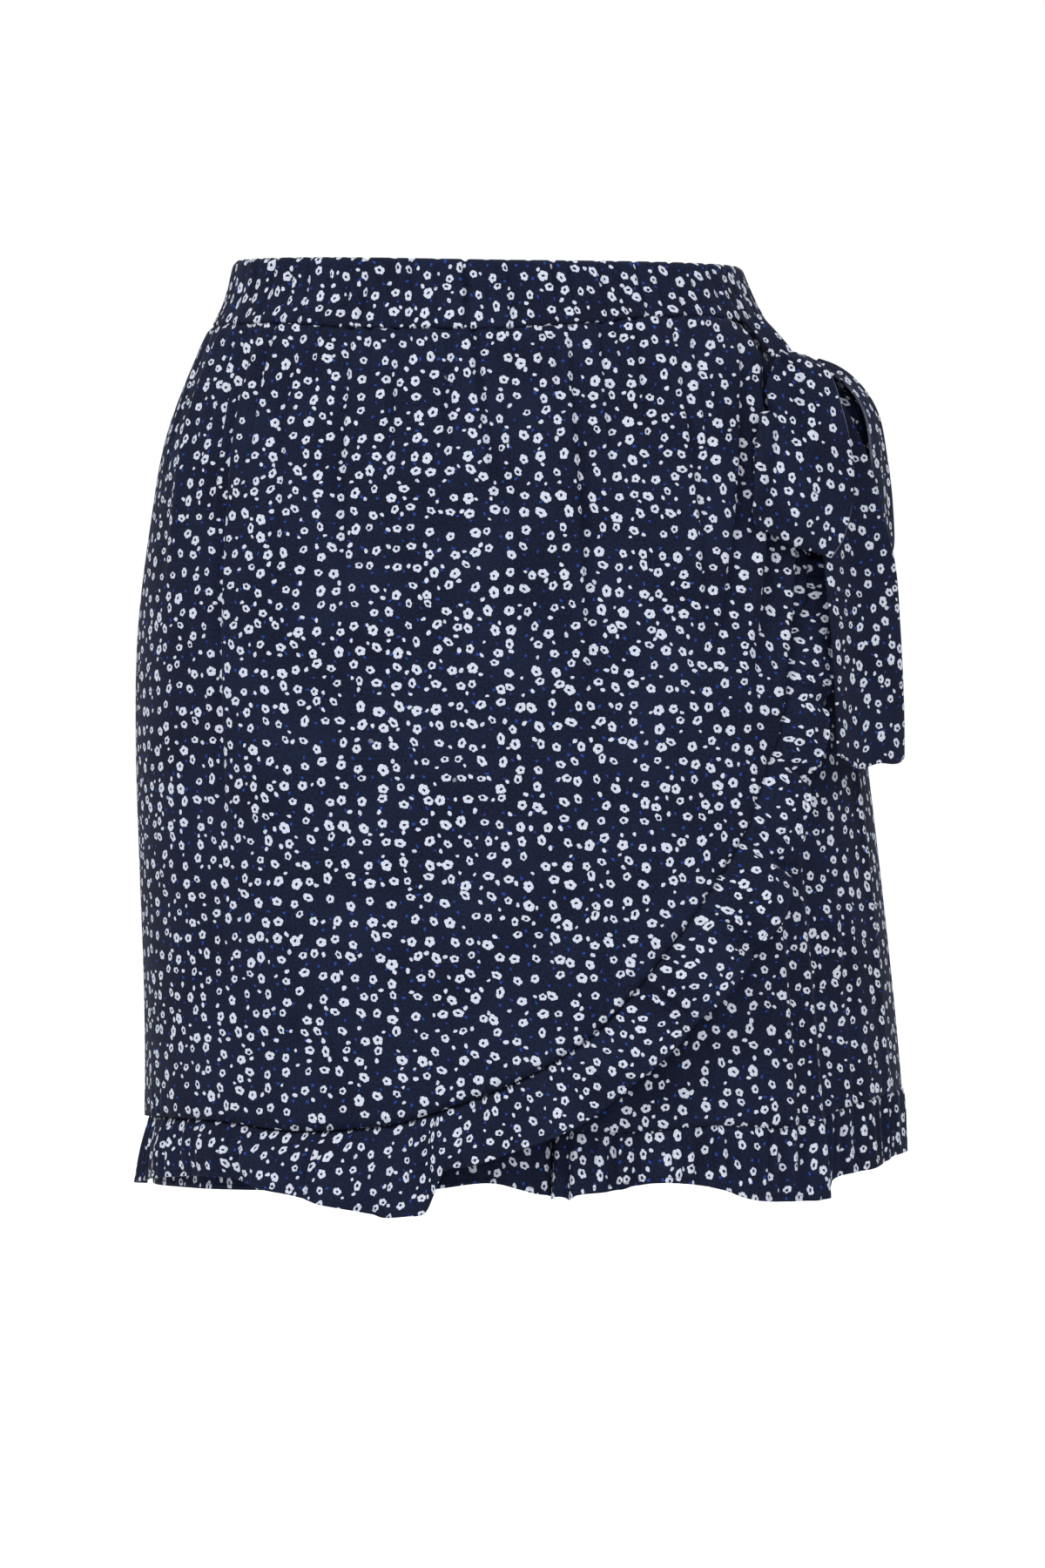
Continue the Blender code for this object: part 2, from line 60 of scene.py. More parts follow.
BAND_TOP = 0.014
BAND_FOOT = -0.016
WAIST_LIFT = 0.0045  # the waist is higher at the sides than at the front
WAIST_TILT = 0.0014  # and lower at the wearer's left than at the right
LIFT_FADE = 0.085
CROTCH_TOP = -0.215
CROTCH = -0.276
LEG_FOOT = -0.3725
LEG_GAP_AT_HEM = 0.0002
INNER_CORNER = 0.013
LEG_SWAY = 0.006  # the inner walls bow toward the wearer's left at mid-depth
WALL_SHARE = 0.28  # of a panel's columns, for the inner wall of its leg
BEHIND_BAND = 0.0035  # how far the cloth reaches up behind the waistband
SEAM_GROOVE = 0.0007  # depth of the dip along an upright seam, and its half-width
SEAM_GROOVE_WIDTH = 0.0016
SIDE_SEAM_OUT = 0.0009  # the wrap panel's distance from the form where the side seam holds it
SIDE_SEAM_REACH = 0.009
BEHIND_FADE = 0.0015  # height over which folds flatten where the cloth goes behind the band
SIDE_RADIUS = 0.155  # turn angles into distances, at the side seams and the centre front
CENTRE_RADIUS = 0.115
LEAST_WALL = 0.0005  # an inner wall shallower than this is left out
BODY_MIDDLE_X = 0.018
ROUND_A_LEG = 0.2  # a piece deeper than this from front to back goes round a leg
PROBE = 0.01  # a step outward, to find the direction that the form faces

BAND_OUT = 0.0026
BAND_ROUNDING = 0.0014  # of the band's top and foot
BAND_RIPPLE = 0.00025
WRAP_OUT_TOP = 0.0027
WRAP_OUT_FOOT = 0.0042
WRAP_OUT_FULL = -0.25  # the height from which it is that far out
ROUNDNESS = 2.2
SEAM_GAP = 0.0002  # between the wrap panel and what it is sewn to
HEM_BEHIND = 0.002  # how far a leg ruffle reaches up behind the leg's hem
EDGE_BEHIND = 0.0026  # how far the wrap ruffle's seam lies behind the panel's edge
EDGE_TUCK = 0.0004  # how far the panel's edge is drawn in, and over what height
EDGE_ROUNDING = 0.0035
WRAP_BELLY = 0.0034  # how far the wrap ruffle swells outward
LEG_FLARE = 0.0014  # how far a leg ruffle stands out at its free edge
RIGHT_LOOSENESS = 0.45  # the right leg's ruffle hangs flatter, under the wrap ruffle
BETWEEN_LEGS_X = (0.006, 0.002)  # a leg ruffle lies flat this near the middle, sideways
BETWEEN_LEGS_Y = (0.118, 0.100)  # and to the front and back

# Cut lengths for each worn length
BAND_EASE = 1.08
LEG_RUFFLE_EASE = 1.06
WRAP_RUFFLE_EASE = 1.05
DROP_EASE = 1.02

# Fine gathers: pitch along the seam, and depth
LEG_CRIMP = (0.0068, 0.0013)
EDGE_CRIMP = (0.0078, 0.0006)
WRAP_CRIMP = (0.0070, 0.0011)
WAIST_CRIMP_DEPTH = 0.00055
WAIST_CRIMP_DROP = 0.010  # they fade over about this height below the band
EDGE_CRIMP_DROP = 0.009  # and these over this height above the wrap panel's edge

Section = namedtuple("Section", "height right left front back middle")
SECTIONS = rows_of(
    Section,
    (-0.411, 0.156, 0.196, 0.122, 0.123, 0.031),
    (-0.375, 0.153, 0.192, 0.119, 0.121, 0.03),
    (-0.32, 0.153, 0.187, 0.117, 0.121, 0.027),
    (-0.26, 0.155, 0.1805, 0.116, 0.122, 0.022),
    (-0.2, 0.157, 0.1735, 0.114, 0.122, 0.016),
    (-0.15, 0.1565, 0.168, 0.112, 0.121, 0.011),
    (-0.1, 0.151, 0.1595, 0.109, 0.116, 0.007),
    (-0.06, 0.144, 0.149, 0.104, 0.108, 0.004),
    (-0.02, 0.1288, 0.1325, 0.096, 0.096, 0.001),
    (0.0, 0.1185, 0.1213, 0.09, 0.088, 0.0),
    (0.019, 0.1135, 0.1133, 0.087, 0.085, 0.0),
)

# How far the waistband's lower seam rises above its level course
Rise = namedtuple("Rise", "angle rise")
SEAM_RISE = rows_of(
    Rise,
    (-180, 0.0),
    (-62, 0.0),
    (-51, 0.0),
    (-38, -0.0019),
    (-24, -0.002),
    (-5, -0.0016),
    (8, -0.001),
    (15, 0.0001),
    (27.5, 0.0018),
    (38, 0.0042),
    (53, 0.0054),
    (57, 0.0055),
    (62.5, 0.0045),
    (72, 0.002),
    (84, 0.0),
    (180, 0.0),
)

# Folds: the angle of a fold's middle at its top and foot, the height of its foot, half of its width
# in degrees, its depth, outward if positive, and the height of its top if that isn't the waist
Fold = namedtuple("Fold", "top_angle foot_angle foot width depth top", defaults=(0.0,))
LARGE_FOLDS = rows_of(
    Fold,
    (-63, -60, -0.33, 8, -0.0022, -0.05),
    (-52, -44, -0.4, 9, 0.002, -0.02),
    (-26, -22, -0.24, 8, -0.0016, -0.02),
    (3, 2, -0.3, 9, 0.0016, -0.02),
    (27, 22, -0.27, 9, -0.0015, -0.02),
    (48, 49, -0.41, 7, 0.0018, -0.2),
    (60, 62, -0.41, 7, -0.0024, -0.19),
    (118, 112, -0.39, 10, 0.0024, -0.03),
    (141, 146, -0.41, 9, -0.0022, -0.03),
    (-118, -115, -0.41, 10, -0.0022, -0.03),
    (-140, -149, -0.37, 10, 0.0024, -0.02),
    (-165, -160, -0.3, 9, -0.0018, -0.04),
)
# Gathers that run down from the waistband's seam
GATHERS = rows_of(
    Fold,
    (-80, -77, -0.08, 2.2, -0.0018),
    (-72, -70, -0.13, 2.4, 0.0018),
    (-66, -65, -0.06, 1.6, -0.002),
    (-63, -61.5, -0.1, 1.7, -0.0026),
    (-60, -57, -0.24, 1.9, -0.003),
    (-55.5, -53, -0.08, 1.5, -0.002),
    (-48, -46, -0.14, 1.8, -0.0026),
    (-44, -42, -0.05, 1.5, -0.0016),
    (-39, -38, -0.04, 1.3, -0.0014),
    (-35.5, -33, -0.16, 1.9, -0.0026),
    (-31.5, -29, -0.06, 1.3, -0.0016),
    (-24.6, -23.5, -0.09, 1.6, -0.0022),
    (-21.2, -20.5, -0.04, 1.2, -0.0014),
    (-15, -15, -0.05, 1.5, 0.0013),
    (-10.8, -10, -0.09, 1.7, -0.0022),
    (-5.6, 1.5, -0.1, 1.6, -0.003),
    (0, 6, -0.17, 1.8, 0.0016),
    (5.3, 6.5, -0.05, 1.3, -0.0014),
    (12, 11, -0.06, 1.6, 0.0014),
    (17, 16.5, -0.06, 1.5, -0.0017),
    (21, 20, -0.18, 1.9, -0.0032),
    (29, 27.5, -0.1, 1.7, -0.0022),
    (33, 32, -0.04, 1.3, -0.0013),
    (37.5, 36, -0.07, 1.6, -0.002),
    (42, 41, -0.05, 1.4, 0.0012),
    (46.6, 43.5, -0.16, 1.8, -0.0028),
    (51, 47.5, -0.09, 1.5, -0.0018),
    (62, 44, -0.17, 1.9, -0.0034, -0.018),
    (64.5, 48, -0.18, 1.8, 0.0024, -0.02),
    (67, 51.5, -0.18, 1.8, -0.0042, -0.022),
    (69.5, 55, -0.19, 1.8, 0.0026, -0.022),
    (71, 59, -0.17, 1.8, -0.0038, -0.022),
    (76, 76, -0.09, 2.0, -0.0018),
    (84, 84, -0.06, 2.0, 0.0014),
)
# Pleat-like folds that hang in the left leg, in front and at its side
LEG_FOLDS = rows_of(
    Fold,
    (52.5, 51.0, -0.42, 1.7, 0.0013, -0.2),
    (54.9, 53.2, -0.42, 1.3, -0.0008, -0.19),
    (57.9, 56.8, -0.43, 1.6, 0.0014, -0.23),
    (60.2, 59.0, -0.43, 1.3, -0.0008, -0.24),
    (67.0, 66.0, -0.4, 1.7, -0.0017, -0.25),
    (39.0, 37.5, -0.42, 1.8, 0.001, -0.3),
    (76.0, 75.0, -0.39, 2.0, 0.0015, -0.16),
    (112.0, 110.0, -0.42, 2.0, 0.0026, -0.2),
    (133.0, 131.0, -0.42, 1.8, -0.0022, -0.18),
    (158.0, 156.0, -0.42, 1.8, 0.0024, -0.23),
    (-104.0, -106.0, -0.42, 2.0, 0.0024, -0.2),
    (-126.0, -128.0, -0.42, 1.8, -0.0024, -0.17),
    (-150.0, -149.0, -0.42, 1.8, 0.0024, -0.24),
)
BACK_GATHERS = 21  # shared round the back, uneven in length and depth

# Troughs in the elasticated waistband: angle, half-width in degrees, depth, and the notch that the
# trough makes in the top edge.
Pucker = namedtuple("Pucker", "angle width depth notch")
PUCKERS = rows_of(
    Pucker,
    (-84, 2.0, 0.001, 0.0003),
    (-77, 1.6, 0.0012, 0.0004),
    (-71, 1.7, 0.001, 0.0003),
    (-66, 1.5, 0.0014, 0.0003),
    (-60, 1.5, 0.0014, 0.0004),
    (-54, 1.6, 0.001, 0.0003),
    (-49, 1.3, 0.0012, 0.0003),
    (-43, 1.3, 0.0008, 0.0002),
    (-38, 1.6, 0.0012, 0.0002),
    (-33.5, 1.4, 0.0016, 0.0009),
    (-26, 1.5, 0.0009, 0.0003),
    (-21.5, 1.2, 0.0013, 0.0003),
    (-14, 1.5, 0.0008, 0.0003),
    (-6.2, 1.4, 0.0015, 0.001),
    (0, 1.5, 0.0008, 0.0002),
    (6, 1.3, 0.0015, 0.0002),
    (12, 1.5, 0.0008, 0.0003),
    (18.5, 1.4, 0.0014, 0.0004),
    (23, 1.2, 0.001, 0.0003),
    (31, 1.5, 0.0015, 0.0003),
    (36, 1.3, 0.0009, 0.0003),
    (41, 1.3, 0.0013, 0.0005),
    (46, 1.5, 0.001, 0.0003),
    (51, 1.3, 0.0014, 0.0007),
    (56, 1.4, 0.001, 0.0003),
    (63, 1.6, 0.0013, 0.0004),
    (70, 1.6, 0.001, 0.0003),
    (77, 1.8, 0.0013, 0.0004),
    (84, 1.8, 0.0009, 0.0002),
)
BACK_PUCKERS = 27
BACK_WAVES = 28  # in the leg ruffles

Hem = namedtuple("Hem", "angle seam free")
HEMS = rows_of(
    Hem,
    (-180, -0.3728, -0.4035),
    (-90, -0.372, -0.402),
    (-22, -0.372, -0.399),
    (-8, -0.3715, -0.396),
    (1, -0.3728, -0.4005),
    (5, -0.3728, -0.402),
    (6, -0.3728, -0.4032),
    (7, -0.3728, -0.402),
    (8.5, -0.3728, -0.4034),
    (10, -0.3728, -0.4012),
    (17, -0.3735, -0.3995),
    (26, -0.373, -0.396),
    (36, -0.371, -0.398),
    (43, -0.3715, -0.4035),
    (50, -0.3728, -0.4055),
    (59, -0.369, -0.4035),
    (62, -0.366, -0.3965),
    (68, -0.3625, -0.393),
    (77, -0.3597, -0.389),
    (90, -0.358, -0.387),
    (125, -0.366, -0.396),
    (180, -0.3728, -0.4035),
)

Edge = namedtuple("Edge", "angle height free_angle free_height flare")
WRAP_EDGE = rows_of(
    Edge,
    (-90.0, -0.3715, -90.0, -0.403, 0.001),
    (-61.0, -0.37, -59.0, -0.3945, 0.003),
    (-45.0, -0.3735, -45.5, -0.4005, 0.0044),
    (-29.0, -0.3705, -28.0, -0.4095, 0.0052),
    (-23.0, -0.3675, -22.2, -0.4095, 0.0052),
    (-20.4, -0.3655, -19.6, -0.4082, 0.0052),
    (-19.2, -0.3648, -18.2, -0.399, 0.0052),
    (-18.0, -0.3638, -16.9, -0.3905, 0.0052),
    (-12.0, -0.3592, -10.5, -0.387, 0.0052),
    (-9.0, -0.357, -6.2, -0.3838, 0.0052),
    (2.0, -0.3465, 7.5, -0.372, 0.0052),
    (12.0, -0.3335, 19.0, -0.354, 0.0052),
    (20.0, -0.318, 28.0, -0.335, 0.0052),
    (31.0, -0.29, 39.5, -0.307, 0.0052),
    (40.0, -0.263, 47.5, -0.279, 0.0052),
    (46.0, -0.241, 51.0, -0.255, 0.0052),
    (51.0, -0.2155, 55.5, -0.226, 0.0052),
    (55.0, -0.197, 59.5, -0.204, 0.0052),
    (58.0, -0.168, 63.0, -0.174, 0.005),
    (60.1, -0.1516, 65.5, -0.157, 0.0046),
    (63.6, -0.1385, 68.5, -0.142, 0.0042),
    (66.0, -0.118, 70.5, -0.1205, 0.0038),
)
WRAP_TOP_ANGLE = 62.5
WRAP_KNOT_PULL = 4.2  # degrees that its corner is drawn toward the knot
WRAP_KNOT_LIFT = 0.003  # and how far outward
WRAP_KNOT_DEPTH = 0.014  # below the band's foot
WRAP_KNOT_REACH = 0.020

# A ruffle's large waves: the place along its seam, half of the wave's width, its push outward and
# how far its sides spread along the seam, so that it hides its neighbours
Wave = namedtuple("Wave", "place width push bell", defaults=(0.0,))
WRAP_WAVES = rows_of(
    Wave,
    (0.012, 0.011, 0.0014),
    (0.03, 0.01, -0.0012),
    (0.049, 0.012, 0.0018, 0.0004),
    (0.068, 0.009, -0.0014),
    (0.084, 0.01, 0.0018, 0.0004),
    (0.101, 0.009, -0.0014),
    (0.119, 0.012, 0.0022, 0.0006),
    (0.137, 0.009, -0.0016),
    (0.15, 0.009, 0.0028, 0.001),
    (0.165, 0.008, -0.0022),
    (0.182, 0.012, 0.004, 0.0026),
    (0.198, 0.008, -0.003),
    (0.212, 0.01, 0.0016, 0.0012),
    (0.228, 0.009, -0.0016),
    (0.246, 0.012, 0.0024, 0.0014),
    (0.264, 0.009, -0.0014),
    (0.282, 0.012, 0.003, 0.002),
    (0.299, 0.008, -0.002),
    (0.318, 0.016, 0.0032, 0.002),
    (0.338, 0.005, -0.0036),
    (0.358, 0.017, 0.0042, 0.003),
    (0.379, 0.005, -0.0036),
    (0.398, 0.016, 0.004, 0.003),
    (0.417, 0.005, -0.0032),
    (0.434, 0.014, 0.0036, 0.002),
    (0.45, 0.005, -0.0026),
    (0.462, 0.01, 0.002, 0.001),
)
# Leg ruffle waves by angle, in degrees
LEG_WAVES = rows_of(
    Wave,
    (-20, 6, 0.0016),
    (-11, 4, -0.002),
    (-5, 4, 0.0018),
    (0, 3, -0.002),
    (3.6, 0.9, 0.0022, 0.0004),
    (5.0, 0.8, -0.0022),
    (6.3, 0.9, 0.0026, 0.0004),
    (7.9, 0.9, -0.0024),
    (10, 1.5, 0.002),
    (14, 4, 0.002),
    (17.5, 1.3, -0.0022),
    (19.5, 1.3, 0.002),
    (21.5, 1.3, -0.0022),
    (28, 5, 0.002, 0.0004),
    (35, 3, -0.002),
    (43, 5, 0.003, 0.0012),
    (50, 3, -0.0018),
    (56.0, 3.5, 0.0052, 0.0036),
    (62, 3, -0.0034),
    (69, 4, 0.002, 0.0006),
    (77, 4, -0.0018),
    (84, 4, 0.0016),
)

Tie = namedtuple("Tie", "x y z half_width swing tilt")
STRAP = rows_of(
    Tie,
    (0.12, -0.043, -0.0085, 0.01, 65, 13),
    (0.1236, -0.042, -0.0126, 0.0088, 64, 16),
    (0.1283, -0.0435, -0.0181, 0.0078, 60, 20),
    (0.133, -0.046, -0.024, 0.0068, 54, 22),
    (0.1355, -0.048, -0.0275, 0.006, 48, 20),
)
FRONT_LOOP = rows_of(
    Tie,
    (0.1385, -0.06, -0.0262, 0.007, 20, -10),
    (0.143, -0.069, -0.0315, 0.0122, 20, -14),
    (0.143, -0.076, -0.043, 0.018, 20, -17),
    (0.1435, -0.0805, -0.06, 0.0228, 22, -18),
    (0.143, -0.0825, -0.08, 0.0256, 24, -18),
    (0.1405, -0.083, -0.1, 0.0242, 25, -18),
    (0.138, -0.0815, -0.1105, 0.0208, 25, -18),
    (0.1385, -0.0787, -0.1115, 0.02, 27, -18),
    (0.1415, -0.0762, -0.1, 0.023, 29, -18),
    (0.1445, -0.0735, -0.08, 0.023, 30, -18),
    (0.1455, -0.07, -0.058, 0.019, 28, -16),
    (0.143, -0.062, -0.04, 0.009, 24, -12),
)
BACK_LOOP = rows_of(
    Tie,
    (0.148, -0.044, -0.029, 0.007, 70, 14),
    (0.156, -0.04, -0.0315, 0.011, 70, 8),
    (0.164, -0.035, -0.036, 0.014, 74, 4),
    (0.1712, -0.031, -0.0435, 0.016, 76, 2),
    (0.1762, -0.0285, -0.054, 0.0168, 77, 2),
    (0.1788, -0.0265, -0.07, 0.017, 76, 2),
    (0.1806, -0.025, -0.09, 0.0172, 74, 4),
    (0.1815, -0.0245, -0.112, 0.0175, 75, 4),
    (0.1785, -0.024, -0.1135, 0.017, 78, 4),
    (0.1735, -0.024, -0.092, 0.017, 68, 5),
    (0.1645, -0.0365, -0.069, 0.013, 36, 3),
    (0.162, -0.0385, -0.051, 0.0125, 30, 0),
    (0.1555, -0.0385, -0.0424, 0.0095, 40, 8),
    (0.148, -0.0405, -0.0395, 0.007, 68, 18),
)
FRONT_TAIL = rows_of(
    Tie,
    (0.1495, -0.0525, -0.04, 0.007, 38, -8),
    (0.154, -0.0515, -0.052, 0.012, 40, -6),
    (0.16, -0.0525, -0.072, 0.016, 41, -4),
    (0.164, -0.056, -0.095, 0.0185, 42, -2),
    (0.1675, -0.0545, -0.12, 0.023, 43, 0),
    (0.1698, -0.06, -0.15, 0.0245, 47, 0),
    (0.1716, -0.0625, -0.185, 0.0245, 48, 0),
    (0.1724, -0.063, -0.212, 0.024, 48, 0),
)
BACK_TAIL = rows_of(
    Tie,
    (0.148, -0.035, -0.0325, 0.0065, 60, 0),
    (0.159, -0.027, -0.0335, 0.011, 25, -27),
    (0.1645, -0.0205, -0.046, 0.0118, 20, -24),
    (0.1655, -0.019, -0.068, 0.012, 40, -8),
    (0.168, -0.023, -0.09, 0.0155, 72, 0),
    (0.1705, -0.0245, -0.115, 0.0175, 84, 0),
    (0.1755, -0.023, -0.15, 0.0175, 86, 0),
    (0.18, -0.022, -0.195, 0.0175, 86, 0),
)
TIE_GAP = 0.0012  # between a tie and the wrap panel, and the layers of a folded loop
LAYER_GAP = 0.0022
TIE_END = 0.02  # length of a tail over which its corners rise
KNOT_CENTRE = (0.1370, -0.0520, -0.0345)
KNOT_RADII = (0.0080, 0.0100, 0.0085)  # along the knot, across it and up
KNOT_TURN = -20.0

# ---- camera and print
CAMERA_DISTANCE = 3.0
CAMERA_X = 0.0164
CAMERA_Z = -0.2198
VIEW_WIDTH = 0.48  # across the picture, at the middle of the body
SENSOR = 36.0
FLOOR = -0.95
FLOOR_REACH = 30.0
AMBIENT = 0.42
SURROUND = 1.02  # what the camera sees beyond the floor
# Softboxes so far off that they light the floor evenly: name, degrees to the right of the camera,
# degrees up, size in degrees, power
LIGHTS = (
    ("right_box", 42, 42, 34, 1.5),
    ("left_box", -44, 44, 30, 2.3),
    ("front_box", -6, 12, 24, 0.65),
    ("top_box", 175, 60, 50, 0.8),
)

FLOWER_SPACING = 0.00876  # one flower for each square of this side
BUD_SPACING = 0.0080
DOT_SPACING = 0.0078
FLOWER_SMALL = 0.00178  # radii
FLOWER_LARGE = 0.00262
BUD_RADIUS = 0.00105
DOT_RADIUS = 0.00075
FLOWER_GAP = (0.0033, 0.0031)  # from a flower's middle to a bud's and to a dot's
CELL_RANDOMNESS = 0.62
FLOWER_BLUR = 0.00010  # half-widths of the printed outlines' soft edges
BUD_BLUR = 0.00009
RAGGED = 0.0007  # how far the outlines wander
NAVY = (0.0058, 0.0087, 0.0235, 1.0)
PETAL = (0.405, 0.435, 0.508, 1.0)
PETAL_SHADE = (0.235, 0.260, 0.330, 1.0)
BLUE = (0.013, 0.034, 0.185, 1.0)
# painted highlight: a lighter colour for the loops' edges, standing in for light caught by the folded
# edge
LIGHT_EDGE = (0.085, 0.095, 0.135, 1.0)

# The hem map holds a place's distance from its hem
NO_HEM = 1.0
STITCH_NEAR = (0.0018, 0.0021)  # the stitch line's two soft sides
STITCH_FAR = (0.0027, 0.0024)
LIGHT_EDGE_AT = 2.0  # where a loop's painted edge highlight starts in the map, beyond any hem
PAINTED_HIGHLIGHT_SIDES = (0.0006, 0.0003)  # how far from there the painted highlight ends, and where it starts to fade


# ---- body form
def smooth(table, place):
    """The table's columns at `place`, numbers or arrays, on smooth curves through its rows."""
    rows = np.array(table, float)
    keys = rows[:, 0]
    place = np.clip(place, keys[0], keys[-1])
    last = len(keys) - 1
    before = np.maximum(np.arange(last + 1) - 1, 0)
    after = np.minimum(np.arange(last + 1) + 1, last)
    slopes = (rows[after] - rows[before]) / (keys[after] - keys[before])[:, None]
    low = np.clip(np.searchsorted(keys, place, side="right") - 1, 0, last - 1)
    span = keys[low + 1] - keys[low]
    share = (place - keys[low]) / span
    columns = []
    for column in range(rows.shape[1]):
        start, end = rows[low, column], rows[low + 1, column]
        bend = slopes[low, column] * share * (1 - share) ** 2
        bend = (bend - slopes[low + 1, column] * share ** 2 * (1 - share)) * span
        columns.append(start + (end - start) * share * share * (3 - 2 * share) + bend)
    return type(table[0])(*columns)


def led_by(first, table):
    """The table's rows with another first column, for `smooth` to go by."""
    Led = namedtuple("Led", ("lead",) + table[0]._fields)
    return [Led(lead, *row) for lead, row in zip(first, table)]


def fade(value, start, end):
    """0 at `start`, 1 at `end`, eased between."""
    share = np.clip((value - start) / (end - start), 0.0, 1.0)
    return share * share * (3 - 2 * share)


def hump(across):
    """1 at 0, eased down to 0 at -1 and 1."""
    return 0.5 + 0.5 * np.cos(np.pi * across)


def signed(angle):
    """An angle round the body as one from -180 to 180."""
    return (angle + 180) % 360 - 180


def unit(vectors):
    """The vectors' directions, of length 1."""
    return vectors / np.linalg.norm(vectors, axis=-1)[..., None]


def uneven(count, seed, low, high):
    """Repeatable uneven sizes."""
    return np.random.default_rng(seed).uniform(low, high, count)


def strewn(start, end, count, seed, shift):
    """Places from `start` to `end`, unevenly spaced."""
    return np.linspace(start, end, count) + uneven(count, seed, -shift, shift)


def relief(folds, angle, height):
    """How far folds push the cloth outward at places on the body form."""
    total = np.zeros(np.broadcast(angle, height).shape)
    for fold in folds:
        along = (fold.top - height) / (fold.top - fold.foot)
        middle = fold.top_angle + (fold.foot_angle - fold.top_angle) * along
        across = np.abs(angle - middle) / fold.width
        inside = (along > 0) & (along < 1) & (across < 1)
        ends = np.sqrt(np.abs(np.sin(np.pi * np.clip(along, 0, 1))))
        total += np.where(inside, fold.depth * ends * hump(across), 0)
    return total


def centre_x(section):
    return (section.left - section.right) / 2


def on_form(angle, height, out=0.0):
    """Points `out` beyond the body form, as an array whose last axis is x, y, z."""
    angle, height, out = np.broadcast_arrays(angle, height, out)
    section = smooth(SECTIONS, height)
    turn = np.radians(angle)
    half_width = (section.right + section.left) / 2 + out
    depth = np.where(np.cos(turn) > 0, section.front, section.back) + out
    reach = (np.abs(np.sin(turn) / half_width) ** ROUNDNESS
             + np.abs(np.cos(turn) / depth) ** ROUNDNESS) ** (-1 / ROUNDNESS)
    reach = reach + relief(LARGE_FOLDS, signed(angle), height)
    return np.stack([centre_x(section) + reach * np.sin(turn), -reach * np.cos(turn), height], -1)


def waist_lift(angle):
    turn = np.radians(angle)
    return WAIST_LIFT * (1 - np.cos(turn)) - WAIST_TILT * np.sin(turn)


def seam_rise(angle):
    return smooth(SEAM_RISE, signed(angle)).rise


def band_foot(angle):
    """Height of the waistband's lower seam."""
    return BAND_FOOT + waist_lift(angle) + seam_rise(angle)


def leg_height(nominal, angle):
    """A row's height at an angle: level, but it follows the seams near the waist and the hem."""
    near_waist = 1 - fade(nominal, BAND_FOOT, BAND_FOOT - LIFT_FADE)
    near_hem = fade(nominal, CROTCH, LEG_FOOT)
    hem_lift = smooth(HEMS, signed(angle)).seam - LEG_FOOT
    return nominal + (waist_lift(angle) + seam_rise(angle)) * near_waist + hem_lift * near_hem


def lengths(points):
    """Distance travelled along a line of points, from 0."""
    steps = np.linalg.norm(np.diff(points, axis=0), axis=1)
    return np.concatenate([[0.0], np.cumsum(steps)])


def spread_evenly(points, count):
    travelled = lengths(points)
    goals = np.linspace(0, travelled[-1], count)
    return np.stack([np.interp(goals, travelled, points[:, axis]) for axis in range(3)], -1)


def angle_of(points):
    """The angle round the body of points near its form."""
    section = smooth(SECTIONS, points[..., 2])
    return np.degrees(np.arctan2(points[..., 0] - centre_x(section), -points[..., 1]))


# ---- making a piece
def add_object(name, data):
    made = bpy.data.objects.new(name, data)
    bpy.context.scene.collection.objects.link(made)
    return made


def cloth_piece(name, points, flat, wall, slip, edge=None, ring=False, offset=-1.0):
    """A shell of cloth through a grid of points.

    `flat` holds each point's place on the cut cloth, in metres, which carries the print. `slip` moves
    the print, so that no two pieces match. `edge` is what the hem map holds: each point's distance
    from the hem, or from the edge of a loop that gets a painted highlight, plus the offset at which
    that painted highlight sits in the map.
    """
    if edge is None:
        edge = np.full(flat.shape[:2], NO_HEM)
    rows, columns = points.shape[:2]
    if ring:
        points = np.concatenate([points, points[:, :1]], 1)
        columns += 1
    index = np.arange(rows * columns).reshape(rows, columns)
    corners = (index[:-1, :-1], index[:-1, 1:], index[1:, 1:], index[1:, :-1])
    quads = np.stack(corners, -1).reshape(-1, 4)
    mesh = bpy.data.meshes.new(name)
    mesh.from_pydata(points.reshape(-1, 3).tolist(), [], quads.tolist())
    maps = (("cloth", flat + np.array(slip)), ("hem", np.stack([flat[..., 0], edge], -1)))
    for map_name, values in maps:
        layer = mesh.uv_layers.new(name=map_name)
        at_corners = values.reshape(-1, 2)[quads.reshape(-1)]
        layer.data.foreach_set("uv", at_corners.astype(np.float32).ravel())
    if faces_inward(mesh):
        mesh.flip_normals()
    mesh.materials.append(PRINT)
    mesh.materials.append(WRONG_SIDE)
    mesh.shade_smooth()
    piece = add_object(name, mesh)
    if ring:
        close_ring(mesh)
    shell = piece.modifiers.new("wall", "SOLIDIFY")
    shell.thickness = wall
    shell.offset = offset
    shell.use_quality_normals = True
    shell.material_offset = 1 if offset else 0
    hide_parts(name)
    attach(piece, "root")


def close_ring(mesh):
    """Joins the first and last columns of a ring."""
    work = bmesh.new()
    work.from_mesh(mesh)
    bmesh.ops.remove_doubles(work, verts=work.verts, dist=0.00001)
    work.to_mesh(mesh)
    work.free()


def faces_inward(mesh):
    """True if the faces point toward the middle of the body, or of the leg that they go round."""
    centres = np.empty(len(mesh.polygons) * 3)
    normals = np.empty(len(mesh.polygons) * 3)
    mesh.polygons.foreach_get("center", centres)
    mesh.polygons.foreach_get("normal", normals)
    centres = centres.reshape(-1, 3)
    normals = normals.reshape(-1, 3)
    middle = np.array([BODY_MIDDLE_X, 0.0, 0.0])
    if np.ptp(centres[:, 1]) > ROUND_A_LEG:
        middle = centres.mean(0)
    away = (centres - middle) * [1, 1, 0]
    return (away * normals).sum() < 0


